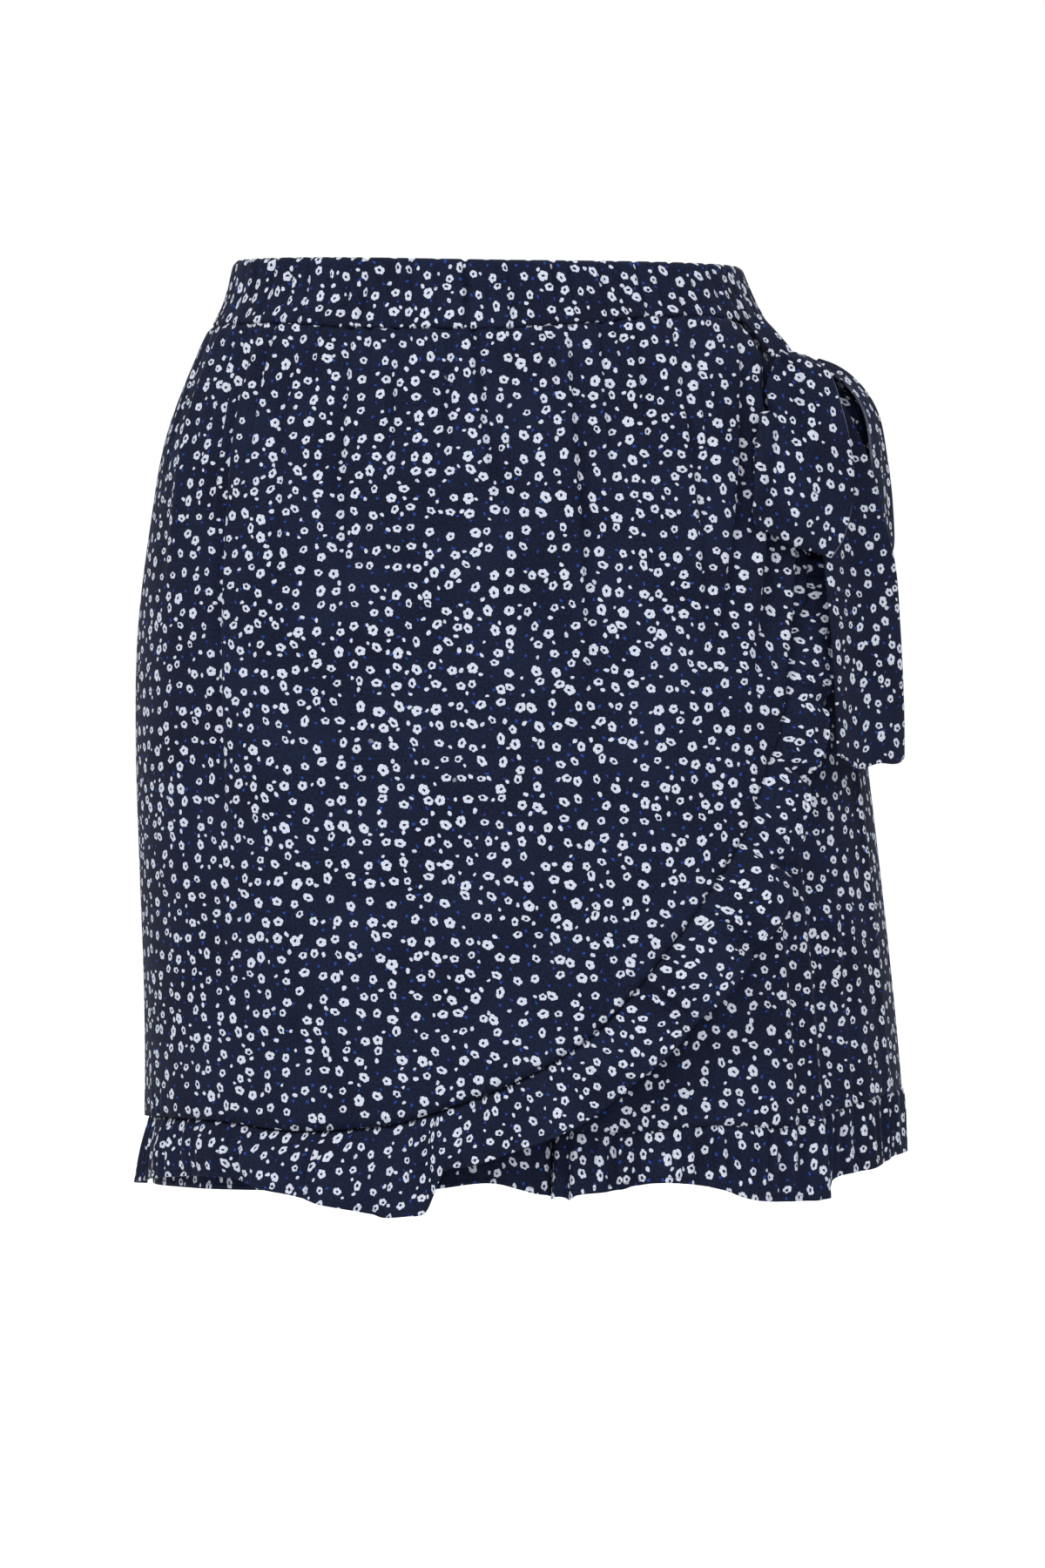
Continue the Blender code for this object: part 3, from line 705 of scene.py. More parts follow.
def back_gathers():
    """Gathers for the back, like the front's in length, spacing and depth."""
    places = strewn(94, 266, BACK_GATHERS, 3, 2.6)
    feet = uneven(BACK_GATHERS, 4, -0.17, -0.05)
    depths = uneven(BACK_GATHERS, 5, -0.0032, -0.0014)
    leans = uneven(BACK_GATHERS, 6, -2, 2)
    return [Fold(p, p + lean, foot, 1.8, depth)
            for p, lean, foot, depth in zip(places, leans, feet, depths)]


GATHERS_BEHIND = back_gathers()


def small_gathers(angle, height):
    """The fine crimping just under the waistband's seam."""
    turn = np.radians(angle)
    fading = np.exp(-np.maximum(band_foot(angle) - height, 0) / WAIST_CRIMP_DROP)
    wave = np.sin(turn * 95 + 1.4 * np.sin(turn * 17))
    return WAIST_CRIMP_DEPTH * wave * fading * (0.6 + 0.4 * np.sin(turn * 23))


def waist_relief(angle, height):
    """How far all the gathers that hang from the waistband push the cloth outward."""
    front = relief(GATHERS, signed(angle), height)
    return front + relief(GATHERS_BEHIND, angle % 360, height) + small_gathers(angle, height)


GIRTH_ANGLES = np.linspace(-180, 180, 1441)
GIRTH_HEIGHTS = np.linspace(-0.42, 0.02, 177)


def girth_table():
    """Length of cloth, folds included, from the centre front to each angle, at a row of heights."""
    table = []
    for height in GIRTH_HEIGHTS:
        out = WRAP_OUT_TOP + waist_relief(GIRTH_ANGLES, np.full_like(GIRTH_ANGLES, height))
        along = lengths(on_form(GIRTH_ANGLES, height, out))
        table.append(along - along[len(along) // 2])
    return np.array(table)


GIRTH = girth_table()


def girth(angle, height):
    """Length of cloth from the centre front round to an angle, at a height."""
    last = len(GIRTH_HEIGHTS) - 1.001
    place = np.clip((height - GIRTH_HEIGHTS[0]) / (GIRTH_HEIGHTS[1] - GIRTH_HEIGHTS[0]), 0, last)
    side = np.clip((angle + 180) / (GIRTH_ANGLES[1] - GIRTH_ANGLES[0]), 0, len(GIRTH_ANGLES) - 1.001)
    low, left = place.astype(int), side.astype(int)
    part = side - left
    below = GIRTH[low, left] * (1 - part) + GIRTH[low, left + 1] * part
    above = GIRTH[low + 1, left] * (1 - part) + GIRTH[low + 1, left + 1] * part
    return below + (above - below) * (place - low)


# ---- waistband
def all_puckers():
    """The front's puckers as listed, and the back's alike."""
    places = strewn(95, 265, BACK_PUCKERS, 11, 1.8)
    depths = uneven(BACK_PUCKERS, 12, 0.0008, 0.0018)
    widths = uneven(BACK_PUCKERS, 13, 1.2, 1.8)
    notches = uneven(BACK_PUCKERS, 14, 0.0002, 0.0008)
    return PUCKERS + [Pucker(*row) for row in zip(places, widths, depths, notches)]


def make_waistband():
    puckers = all_puckers()
    halves = (("waistband_front", -90.0, (0.31, 0.10)), ("waistband_back", 90.0, (0.9, 0.3)))
    for name, start, slip in halves:
        angle = np.linspace(start, start + 180, 521)[None, :]
        share = np.linspace(0, 1, 27)[:, None]
        trough = np.zeros_like(angle)
        notch = np.zeros_like(angle)
        toward_side = np.exp(-((np.abs(signed(angle)) - 78) / 18) ** 2)
        for pucker in puckers:
            bump = hump(np.minimum(np.abs(angle - pucker.angle) / (0.9 * pucker.width), 1))
            trough += 1.2 * pucker.depth * bump * (1 - 0.6 * toward_side)
            notch += pucker.notch * bump
        turn = np.radians(angle)
        ripple = BAND_RIPPLE * np.sin(turn * 61 + 2 * np.sin(turn * 7))
        foot = band_foot(angle)
        height = foot + (BAND_TOP + waist_lift(angle) - foot) * share - notch * share ** 3
        wander = 1 + 0.35 * np.sin(share * 5 + turn * 9)
        ends = np.sin(np.pi * np.clip(share, 0.04, 0.96)) ** 0.35
        rounding = BAND_ROUNDING * (fade(share, 0.93, 1.0) ** 2 + 0.8 * fade(share, 0.07, 0.0) ** 2)
        out = BAND_OUT - trough * wander * (0.35 + 0.65 * ends) - rounding + ripple * ends
        points = on_form(angle, height, 0.0)
        outward = on_form(angle, height, PROBE) - points
        points = points + outward * (out / PROBE)[..., None]
        around = np.broadcast_to(lengths(points[len(points) // 2]), out.shape)
        flat = np.stack([around * BAND_EASE, height], -1)
        cloth_piece(name, points, flat, BAND_CLOTH, slip)


# ---- shorts
def angle_at_x(x, face, height):
    """The angle from the front's or the back's centre at which the form reaches x."""
    angles = np.linspace(-90, 90, 721)
    line = on_form(angles if face > 0 else 180 - angles, height)
    return float(np.interp(x, line[:, 0], angles))


def leg_line(side, face, nominal):
    """A leg's outer line at a height: across its face from the side seam, and along its inner wall."""
    opening = LEG_GAP_AT_HEM * fade(nominal, CROTCH, LEG_FOOT)
    inner_x = float(smooth(SECTIONS, nominal).middle) + side * opening
    turns = np.linspace(side * 90.0, angle_at_x(inner_x, face, nominal), 520)
    angles = turns if face > 0 else 180 - turns
    heights = leg_height(nominal, angles)
    foot = band_foot(angles)
    behind = fade(heights, foot, foot + BEHIND_FADE)
    tucked = TUCK * (fade(heights, foot - SEAM_ROUNDING, foot) ** 2 - 0.6 * behind)
    leg_folds = relief(LEG_FOLDS, signed(angles), heights)
    folds = (waist_relief(angles, heights) + leg_folds) * (1 - behind)
    from_side = np.radians(np.abs(turns - turns[0])) * SIDE_RADIUS
    from_centre = np.radians(np.abs(turns - turns[-1])) * CENTRE_RADIUS
    groove = np.exp(-(from_side / SEAM_GROOVE_WIDTH) ** 2)
    groove = groove + np.exp(-(from_centre / SEAM_GROOVE_WIDTH) ** 2) * fade(nominal, CROTCH, CROTCH_TOP)
    line = on_form(angles, heights, folds - tucked - SEAM_GROOVE * groove)
    corner = line[-1]
    drop = min(max((CROTCH_TOP - nominal) / (CROTCH_TOP - CROTCH), 0.0), 1.0)
    wall = abs(corner[1]) * (1 - math.sqrt(1 - drop * drop))
    if wall < LEAST_WALL:
        return line, None
    inward = np.array([0.0, face, 0.0])
    rounding = min(INNER_CORNER, wall * 0.8)
    away = np.linalg.norm(line - corner, axis=1)
    kept = line[away > rounding]
    arc_start, arc_end = kept[-1], corner + inward * rounding
    share = np.linspace(0, 1, 14)[1:-1, None]
    arc = (arc_start * (1 - share) + corner * share) * (1 - share)
    arc = arc + (corner * (1 - share) + arc_end * share) * share
    straight = np.linspace(0, 1, 60)[:, None]
    inner = arc_end + (corner + inward * wall - arc_end) * straight
    sway = LEG_SWAY * fade(nominal, CROTCH_TOP, LEG_FOOT)
    inner[:, 0] += sway * (1 - (inner[:, 1] / arc_end[1]) ** 2)
    return np.concatenate([kept, arc[:6]]), np.concatenate([arc[5:], inner])


def panel_row(side, face, nominal, columns):
    """A row of a leg's panel, whose columns turn into the inner wall at the same place in every row."""
    across, wall = leg_line(side, face, nominal)
    if wall is None:
        return spread_evenly(across, columns)
    parted = fade(nominal, CROTCH_TOP, 0.5 * (CROTCH_TOP + CROTCH))
    walled = 4 + round(columns * WALL_SHARE * float(parted))
    return np.concatenate([spread_evenly(across, columns - walled), spread_evenly(wall, walled + 1)[1:]])


def make_shorts():
    panels = (
        ("shorts_front_left", 1, 1, 331, 118, 0.37),
        ("shorts_back_left", 1, -1, 190, 96, 0.74),
        ("shorts_front_right", -1, 1, 90, 80, 1.11),
        ("shorts_back_right", -1, -1, 190, 96, 1.48),
    )
    for name, side, face, columns, count, slip in panels:
        share = np.linspace(0, 1, count)
        top = BAND_FOOT + BEHIND_BAND
        heights = top + (LEG_FOOT - top) * (0.75 * share + 0.25 * share ** 2)
        rows = [panel_row(side, face, float(nominal), columns) for nominal in heights]
        points = np.array(rows)
        across = np.array([lengths(row) for row in rows]) * side
        flat = np.stack([across, points[..., 2] * DROP_EASE], -1)
        cloth_piece(name, points, flat, CLOTH, (slip, slip * 0.7))


# ---- ruffles
def waves(table, place):
    """Outward push and sideways spread of a ruffle's free edge at places along its seam."""
    push, spread = np.zeros_like(place), np.zeros_like(place)
    for wave in table:
        across = np.clip((place - wave.place) / (wave.width * 1.25), -1, 1)
        push += wave.push * hump(across)
        spread += 0.6 * wave.bell * np.sin(np.pi * across)
    return push, spread


def crimps(place, pitch, seed):
    """Fine gathers at a ruffle's seam, from -1 to 1, of uneven spacing and depth."""
    turn = place / pitch * 2 * np.pi
    depth = 0.65 + 0.35 * np.sin(turn * 0.173 + seed)
    wander = 1.3 * np.sin(turn * 0.31 + seed)
    return depth * np.sin(turn + wander + 0.7 * np.sin(turn * 0.117 + 2 * seed))


def leg_wave_table():
    """Waves round both legs: the front's as listed, the rest alike."""
    places = strewn(92, 335, BACK_WAVES, 21, 2.0)
    signs = np.where(np.arange(BACK_WAVES) % 2, 1, -1)
    pushes = signs * uneven(BACK_WAVES, 22, 0.0014, 0.0030)
    widths = uneven(BACK_WAVES, 23, 4, 6)
    around = np.where(places > 180, places - 360, places)
    bells = np.maximum(pushes, 0) * 0.5
    return LEG_WAVES + [Wave(*row) for row in zip(around, widths, pushes, bells)]


def make_leg_ruffles():
    table = leg_wave_table()
    middle = float(smooth(SECTIONS, LEG_FOOT).middle)
    for side, wearer, slip in ((1, "left", (1.7, 0.4)), (-1, "right", (2.9, 0.8))):
        front, back = (np.concatenate(leg_line(side, face, LEG_FOOT)) for face in (1, -1))
        ring = spread_evenly(np.concatenate([front, back[::-1], front[:1]]), 701)
        along = lengths(ring)
        ring = ring[:-1]
        tangent = np.roll(ring, -2, 0) - np.roll(ring, 2, 0)
        tangent[:, 2] = 0
        tangent = unit(tangent)
        outward = np.stack([tangent[:, 1], -tangent[:, 0], 0 * tangent[:, 0]], -1) * -side
        angle = angle_of(ring)
        inner = fade(np.abs(ring[:, 0] - middle), *BETWEEN_LEGS_X)
        inner = inner * fade(np.abs(ring[:, 1]), *BETWEEN_LEGS_Y)
        push, spread = waves(table, angle)
        small = crimps(along[:-1], LEG_CRIMP[0], side) * LEG_CRIMP[1]
        loose = 1.0 if side > 0 else RIGHT_LOOSENESS
        free = smooth(HEMS, angle).free
        share = np.linspace(0, 1, 19)[:, None]
        opened = share ** 0.8
        out = ((LEG_FLARE * share + push * opened) * loose
               + small * np.sin(np.pi * np.clip(share * 0.8 + 0.15, 0, 1)) * (0.4 + 0.6 * loose))
        height = (ring[:, 2] + HEM_BEHIND) * (1 - share) + free * share
        out = out * (1 - 0.97 * inner) - TUCK * fade(ring[:, 2] - height, SEAM_ROUNDING, 0.0) ** 2
        points = ring[None] + outward[None] * out[..., None]
        points = points + tangent[None] * (spread * loose * side * opened * (1 - inner))[..., None]
        points[..., 2] = height
        below_middle = points[11]
        around = lengths(np.concatenate([below_middle, below_middle[:1]])) * LEG_RUFFLE_EASE
        drop = ring[:, 2] - free
        drop = np.concatenate([drop, drop[:1]])
        flat = np.stack(np.broadcast_arrays(around, -drop * share), -1)
        cloth_piece(f"leg_ruffle_{wearer}", points, flat, CLOTH,
                    slip,
                    edge=drop * (1 - share), ring=True)


def wrap_edge_by_length():
    """The wrap edge's rows, led by the length of seam from the right side seam."""
    spots = np.array([on_form(edge.angle, edge.height) for edge in WRAP_EDGE])
    return led_by(lengths(spots), WRAP_EDGE)


def wrap_out(height):
    """The wrap panel's distance from the form."""
    return WRAP_OUT_TOP + (WRAP_OUT_FOOT - WRAP_OUT_TOP) * fade(height, BAND_FOOT, WRAP_OUT_FULL)


def make_wrap_panel():
    rows = wrap_edge_by_length()
    along = np.linspace(0, 1, 401)[None, :] * rows[-1].lead
    down = np.linspace(0, 1, 118)[:, None]
    down = 0.62 * down + 0.38 * down ** 2.2
    edge = smooth(rows, along)
    across = (edge.angle + 90) / (WRAP_EDGE[-1].angle + 90)
    top_angle = (WRAP_TOP_ANGLE + 90) * across - 90
    foot = band_foot(top_angle)
    top = foot + BEHIND_BAND - SEAM_GAP
    height = top + (edge.height - top) * down
    above_knot = height - BAND_FOOT + WRAP_KNOT_DEPTH
    pull = fade(across, 0.80, 1.0) * WRAP_KNOT_PULL * np.minimum(down * 12, 1)
    pull = pull * np.exp(-(above_knot / WRAP_KNOT_REACH) ** 2)
    angle = top_angle + (edge.angle - top_angle) * down + pull
    to_edge = height - edge.height
    tucked = EDGE_TUCK * fade(to_edge, EDGE_ROUNDING, 0.0) ** 2
    behind = fade(height, foot, foot + BEHIND_FADE)
    tucked = tucked + TUCK * (fade(foot - height, SEAM_ROUNDING, 0.0) ** 2 + 1.2 * behind)
    crimp = crimps(along, EDGE_CRIMP[0], 2.0) * EDGE_CRIMP[1] * np.exp(-to_edge / EDGE_CRIMP_DROP)
    toward_knot = fade(across, 0.86, 1.0) * np.exp(-(above_knot / WRAP_KNOT_DEPTH) ** 2)
    out = wrap_out(height) + waist_relief(angle, height) * (1 - behind) + crimp
    out = out - tucked + WRAP_KNOT_LIFT * toward_knot
    at_side = fade(np.radians(angle + 90) * SIDE_RADIUS, SIDE_SEAM_REACH, 0.0)
    out = out * (1 - at_side) + SIDE_SEAM_OUT * at_side
    points = on_form(angle, height, out)
    flat = np.stack([girth(angle, height), height * DROP_EASE], -1)
    cloth_piece("wrap_panel", points, flat, CLOTH, (5.2, 1.9))


def make_wrap_ruffle():
    rows = wrap_edge_by_length()
    along = np.linspace(0, rows[-1].lead, 900)
    edge = smooth(rows, along)
    loose = fade(along, 0.0, SIDE_SEAM_REACH)
    seam_out = (wrap_out(edge.height) - EDGE_BEHIND) * loose + 0.5 * SIDE_SEAM_OUT * (1 - loose)
    seam = on_form(edge.angle, edge.height, seam_out)
    flare = edge.flare * (1 + 0.7 * fade(along, 0.06, 0.16))
    free_out = (wrap_out(edge.free_height) + flare) * loose + 1.3 * SIDE_SEAM_OUT * (1 - loose)
    free = on_form(edge.free_angle, edge.free_height, free_out)
    outward = unit(on_form(edge.angle, edge.height, PROBE) - on_form(edge.angle, edge.height))
    tangent = unit(np.gradient(seam, axis=0))
    share = np.linspace(0, 1, 26)[:, None]
    push, spread = waves(WRAP_WAVES, along)
    small = crimps(along, WRAP_CRIMP[0], 5.0) * WRAP_CRIMP[1]
    small = small * np.sin(np.pi * np.clip(share * 0.8 + 0.12, 0, 1))
    belly = WRAP_BELLY * np.sin(np.pi * np.minimum(share * 1.1, 1)) * fade(along, 0.0, 0.10)
    start = seam + unit(free - seam) * SEAM_GAP
    points = start[None] * (1 - share[..., None]) + free[None] * share[..., None]
    points = points + outward[None] * ((push * share ** 0.8 + small) * loose + belly)[..., None]
    points = points + tangent[None] * (spread * share)[..., None]
    below_middle = points[19]
    depth = np.linalg.norm(free - seam, axis=1)
    flat = np.stack(np.broadcast_arrays(lengths(below_middle) * WRAP_RUFFLE_EASE, -depth * share), -1)
    cloth_piece("wrap_ruffle", points, flat, CLOTH, (7.7, 2.3),
                edge=depth * (1 - share))


# ---- bow
def lay_on_panel(points, drawn, gap):
    """Draws cloth straight back to the wrap panel by a share, then keeps it `gap` outside the panel."""
    height = points[..., 2]
    x = points[..., 0] - centre_x(smooth(SECTIONS, height))
    start = points[..., 1]
    y = start
    for _ in range(4):
        on_panel = -np.sqrt(np.maximum(panel_reach(x, y, height, gap) ** 2 - x ** 2, 0))
        y = np.minimum(start + (on_panel - start) * drawn, -0.001)
    clear = np.maximum(panel_reach(x, y, height, gap) / np.hypot(x, y), 1)
    return np.stack([points[..., 0] + x * (clear - 1), y * clear, height], -1)


def panel_reach(x, y, height, gap):
    """How far the wrap panel's face, and a gap, are from the body's axis in the direction of x, y."""
    angle = np.degrees(np.arctan2(x, -y))
    face = on_form(angle, height, wrap_out(height) + waist_relief(angle, height) + gap)
    return np.hypot(face[..., 0] - centre_x(smooth(SECTIONS, height)), face[..., 1])


# How a tie's cloth is shaped: pleats at the knot, folds along it, where they start, how far its left
# edge is drawn down on the panel, how far the corners of its free end rise, and which of its edges
# gets a painted highlight, as if it caught the light: 1 right, -1 left, 0 neither
Shape = namedtuple("Shape", "pleats folds phase lean end_wave light_side", defaults=(0.0, 0.0, 0))


def tie_points(table, rows, columns, shape):
    """A strip along a table of places, folded along its length and drawn together at the knot."""
    tie = smooth(led_by(range(len(table)), table), np.linspace(0, len(table) - 1, rows))
    swing, tilt = np.radians(tie.swing), np.radians(tie.tilt)
    across = np.stack([np.cos(swing) * np.cos(tilt), np.sin(swing) * np.cos(tilt), np.sin(tilt)], -1)
    middle = np.stack([tie.x, tie.y, tie.z], -1)
    normal = unit(np.cross(unit(np.gradient(middle, axis=0)), across))
    span = np.linspace(-1, 1, columns)
    run = lengths(middle)
    widest = max(row.half_width for row in table)
    wide = (tie.half_width / widest)[:, None]
    pleats = shape.pleats * (1 - wide) * np.cos(span[None] * 7)
    turning = 3.6 * span[None] + shape.phase + 9 * run[:, None]
    folds = shape.folds * wide * np.sin(turning)
    folds = folds * (1 + 0.3 * np.sin(2.3 * span[None] + 31 * run[:, None]))
    points = middle[:, None] + across[:, None] * (tie.half_width[:, None] * span)[..., None]
    points = points + normal[:, None] * (pleats + folds)[..., None]
    drawn = shape.lean * fade(wide, 0.3, 0.9) * np.clip(-span[None], 0, 1) ** 1.3
    layer = fade(run, 0.52 * run[-1], 0.46 * run[-1])[:, None]
    points = lay_on_panel(points, drawn, TIE_GAP + LAYER_GAP * layer * shape.lean)
    end = np.exp(-(run[-1] - run) / TIE_END)[:, None]
    points[..., 2] += shape.end_wave * end * (span[None] ** 2 + 0.25 * np.sin(span[None] * 6))
    flat = np.stack(np.broadcast_arrays(span[None] * tie.half_width[:, None], run[:, None]), -1)
    # the hem map then holds the distance from the edge that gets the painted highlight
    if not shape.light_side:
        return points, flat, None
    return points, flat, LIGHT_EDGE_AT + (1 - shape.light_side * span[None]) * tie.half_width[:, None]


def make_bow():
    ties = (
        ("strap", STRAP, 30, 20, "hung", (9.1, 0.2), Shape(0.0, 0.0004, 0.0)),
        ("loop_front", FRONT_LOOP, 150, 40, "folded", (9.6, 0.9),
         Shape(0.0004, 0.0010, 0.6, lean=1.0, light_side=1)),
        ("loop_back", BACK_LOOP, 150, 40, "folded", (10.3, 1.4),
         Shape(0.0009, 0.0009, 2.0, light_side=-1)),
        ("tail_front", FRONT_TAIL, 120, 40, "hung", (11.2, 0.6),
         Shape(0.0012, 0.0015, 4.0, end_wave=0.0045)),
        ("tail_back", BACK_TAIL, 110, 36, "hung", (12.4, 0.3),
         Shape(0.0012, 0.0012, 1.0, end_wave=0.0040)),
    )
    for name, table, rows, columns, held, slip, shape in ties:
        points, flat, edge = tie_points(table, rows, columns, shape)
        cloth_piece(f"tie_{name}", points, flat, TIE_CLOTH, slip, edge, offset=0.0)


def make_knot():
    """The knot: the tie's cloth wrapped once round the loops' necks, with soft pleats."""
    turn = np.linspace(0, 2 * np.pi, 97)[:-1][None, :]
    along = np.linspace(-1, 1, 33)[:, None]
    girdle = np.sqrt(np.clip(1.02 - np.abs(along) ** 3, 0, 1))
    pleat = 1 + 0.06 * np.cos(along * 11 + 0.6 * np.sin(turn))
    length, width, height = KNOT_RADII
    through = length * along
    sideways = width * girdle * pleat * np.cos(turn)
    z = height * girdle * pleat * np.sin(turn)
    swing = math.radians(KNOT_TURN)
    x = through * math.cos(swing) - sideways * math.sin(swing)
    y = through * math.sin(swing) + sideways * math.cos(swing)
    points = np.stack([x, y, z], -1) + np.array(KNOT_CENTRE)
    middle = points[len(points) // 2]
    around = lengths(np.concatenate([middle, middle[:1]]))
    flat = np.stack(np.broadcast_arrays(around, width * along), -1)
    cloth_piece("tie_knot", points, flat, TIE_CLOTH, (13.3, 0.5), ring=True)


# ---- shader maths
class Cloth:
    """A material under construction."""

    def __init__(self, name):
        self.material = bpy.data.materials.new(name)
        self.material.use_nodes = True
        self.tree = self.material.node_tree
        self.shader = self.tree.nodes["Principled BSDF"]

    def node(self, kind, settings=None, sockets=None):
        """Any node: its settings are set first, then its sockets' values or links."""
        made = self.tree.nodes.new(kind)
        for key, value in (settings or {}).items():
            setattr(made, key, value)
        for key, value in (sockets or {}).items():
            self.feed(made.inputs[key], value)
        return made

    def feed(self, socket, value):
        if isinstance(value, Number):
            value = value.socket
        if isinstance(value, bpy.types.NodeSocket):
            self.tree.links.new(value, socket)
        else:
            socket.default_value = value

    def number(self, socket):
        return Number(self, socket)

    def math(self, operation, *values):
        made = self.node("ShaderNodeMath", {"operation": operation}, dict(enumerate(values)))
        return Number(self, made.outputs[0])

    def step(self, value, start, end):
        """0 at `start`, 1 at `end`, eased between."""
        made = self.node("ShaderNodeMapRange", {"interpolation_type": "SMOOTHSTEP"},
                         {"Value": value, "From Min": start, "From Max": end})
        return Number(self, made.outputs["Result"])

    def vector(self, operation, *values):
        made = self.node("ShaderNodeVectorMath", {"operation": operation}, dict(enumerate(values)))
        return made.outputs["Vector"]

    def noise(self, place, scale, detail):
        """Noise over the cloth, as a number and as a colour."""
        made = self.node("ShaderNodeTexNoise", {"noise_dimensions": "2D"},
                         {"Vector": place, "Scale": scale, "Detail": detail})
        return Number(self, made.outputs["Fac"]), made.outputs["Color"]

    def mix(self, share, first, second):
        made = self.node("ShaderNodeMix", {"data_type": "RGBA"}, {0: share, 6: first, 7: second})
        return made.outputs[2]


class Number:
    """A number that varies over the cloth; Python's operators add Math nodes."""

    def __init__(self, cloth, socket):
        self.cloth = cloth
        self.socket = socket


def operator(operation, turned_round):
    """A method that adds a Math node for a Python operator."""
    def made(self, other):
        values = (other, self) if turned_round else (self, other)
        return self.cloth.math(operation, *values)
    return made


OPERATORS = {"add": "ADD", "sub": "SUBTRACT", "mul": "MULTIPLY", "truediv": "DIVIDE", "pow": "POWER"}
for python_name, operation in OPERATORS.items():
    setattr(Number, f"__{python_name}__", operator(operation, False))
    setattr(Number, f"__r{python_name}__", operator(operation, True))


def scattered(cloth, place, spacing, feature="F1"):
    """Cells strewn over the cloth, one for each square of side `spacing`."""
    return cloth.node("ShaderNodeTexVoronoi", {"voronoi_dimensions": "2D", "feature": feature},
                      {"Vector": place, "Scale": 1 / spacing, "Randomness": CELL_RANDOMNESS})


def chances(cloth, cells):
    """Three independent chances from 0 to 1 for each cell."""
    parts = cloth.node("ShaderNodeSeparateColor", {}, {"Color": cells.outputs["Color"]})
    return [cloth.number(socket) for socket in parts.outputs[:3]]


def local_frame(cloth, place, cells, chance, stretch):
    """Distance and angle from a cell's middle, turned by chance and stretched."""
    away = cloth.vector("SUBTRACT", place, cells.outputs["Position"])
    turned = cloth.node("ShaderNodeVectorRotate", {"rotation_type": "Z_AXIS"},
                        {"Vector": away, "Angle": chance * 6.283})
    parts = cloth.node("ShaderNodeSeparateXYZ", {}, {"Vector": turned.outputs[0]})
    x = cloth.number(parts.outputs[0])
    y = cloth.number(parts.outputs[1]) * stretch
    radius = cloth.math("SQRT", x * x + y * y)
    return x, y, radius, cloth.math("ARCTAN2", y, x)


def flowers(cloth, place):
    """Masks of the flowers' petals and of their dark middles and petal marks."""
    cells = scattered(cloth, place, FLOWER_SPACING)
    borders = scattered(cloth, place, FLOWER_SPACING, "DISTANCE_TO_EDGE")
    apart = cloth.number(borders.outputs["Distance"])
    first, second, third = chances(cloth, cells)
    x, y, radius, angle = local_frame(cloth, place, cells, first, 1 + second * 0.36)
    size = FLOWER_SMALL + (FLOWER_LARGE - FLOWER_SMALL) * third
    lobes = cloth.math("ABSOLUTE", cloth.math("COSINE", angle * 2.5)) ** 0.8
    uneven_lobe = cloth.math("COSINE", angle * 2 + first * 9) * 0.08
    rim = size * (0.84 + lobes * 0.17 + uneven_lobe)
    petals = cloth.step(radius - rim, FLOWER_BLUR, -FLOWER_BLUR)
    petals = petals * cloth.step(apart, 0.018, 0.040)
    off_x = x - (second - 0.5) * 0.0006
    off_y = (y - (first - 0.5) * 0.0006) * (0.8 + third * 0.7)
    middle_radius = cloth.math("SQRT", off_x * off_x + off_y * off_y)
    middle = cloth.step(middle_radius - size * (0.30 + second * 0.14), FLOWER_BLUR, -FLOWER_BLUR)
    marks = cloth.step(lobes, 0.42, 0.10) * cloth.step(radius / size, 0.30, 0.55) * 0.55
    return petals, middle, marks


def clear_of_flowers(cloth, position, gap):
    """1 where a place is farther than `gap` from the nearest flower's middle."""
    nearest = scattered(cloth, position, FLOWER_SPACING).outputs["Distance"]
    return cloth.step(cloth.number(nearest) * FLOWER_SPACING, gap, gap + 0.00001)


def buds(cloth, place, shift, spacing, radius, stretch, gap):
    """Small oval spots in the spaces between the flowers."""
    moved = cloth.vector("ADD", place, shift)
    cells = scattered(cloth, moved, spacing)
    first, second = chances(cloth, cells)[:2]
    distance = local_frame(cloth, moved, cells, first, stretch)[2]
    spot = cloth.step(distance - radius * (0.75 + second * 0.5), BUD_BLUR, -BUD_BLUR)
    middle = cloth.vector("SUBTRACT", cells.outputs["Position"], shift)
    return spot * clear_of_flowers(cloth, middle, gap)


def shade(colour, share):
    """The colour at a share of its brightness."""
    return tuple(part * share for part in colour[:3]) + (1,)


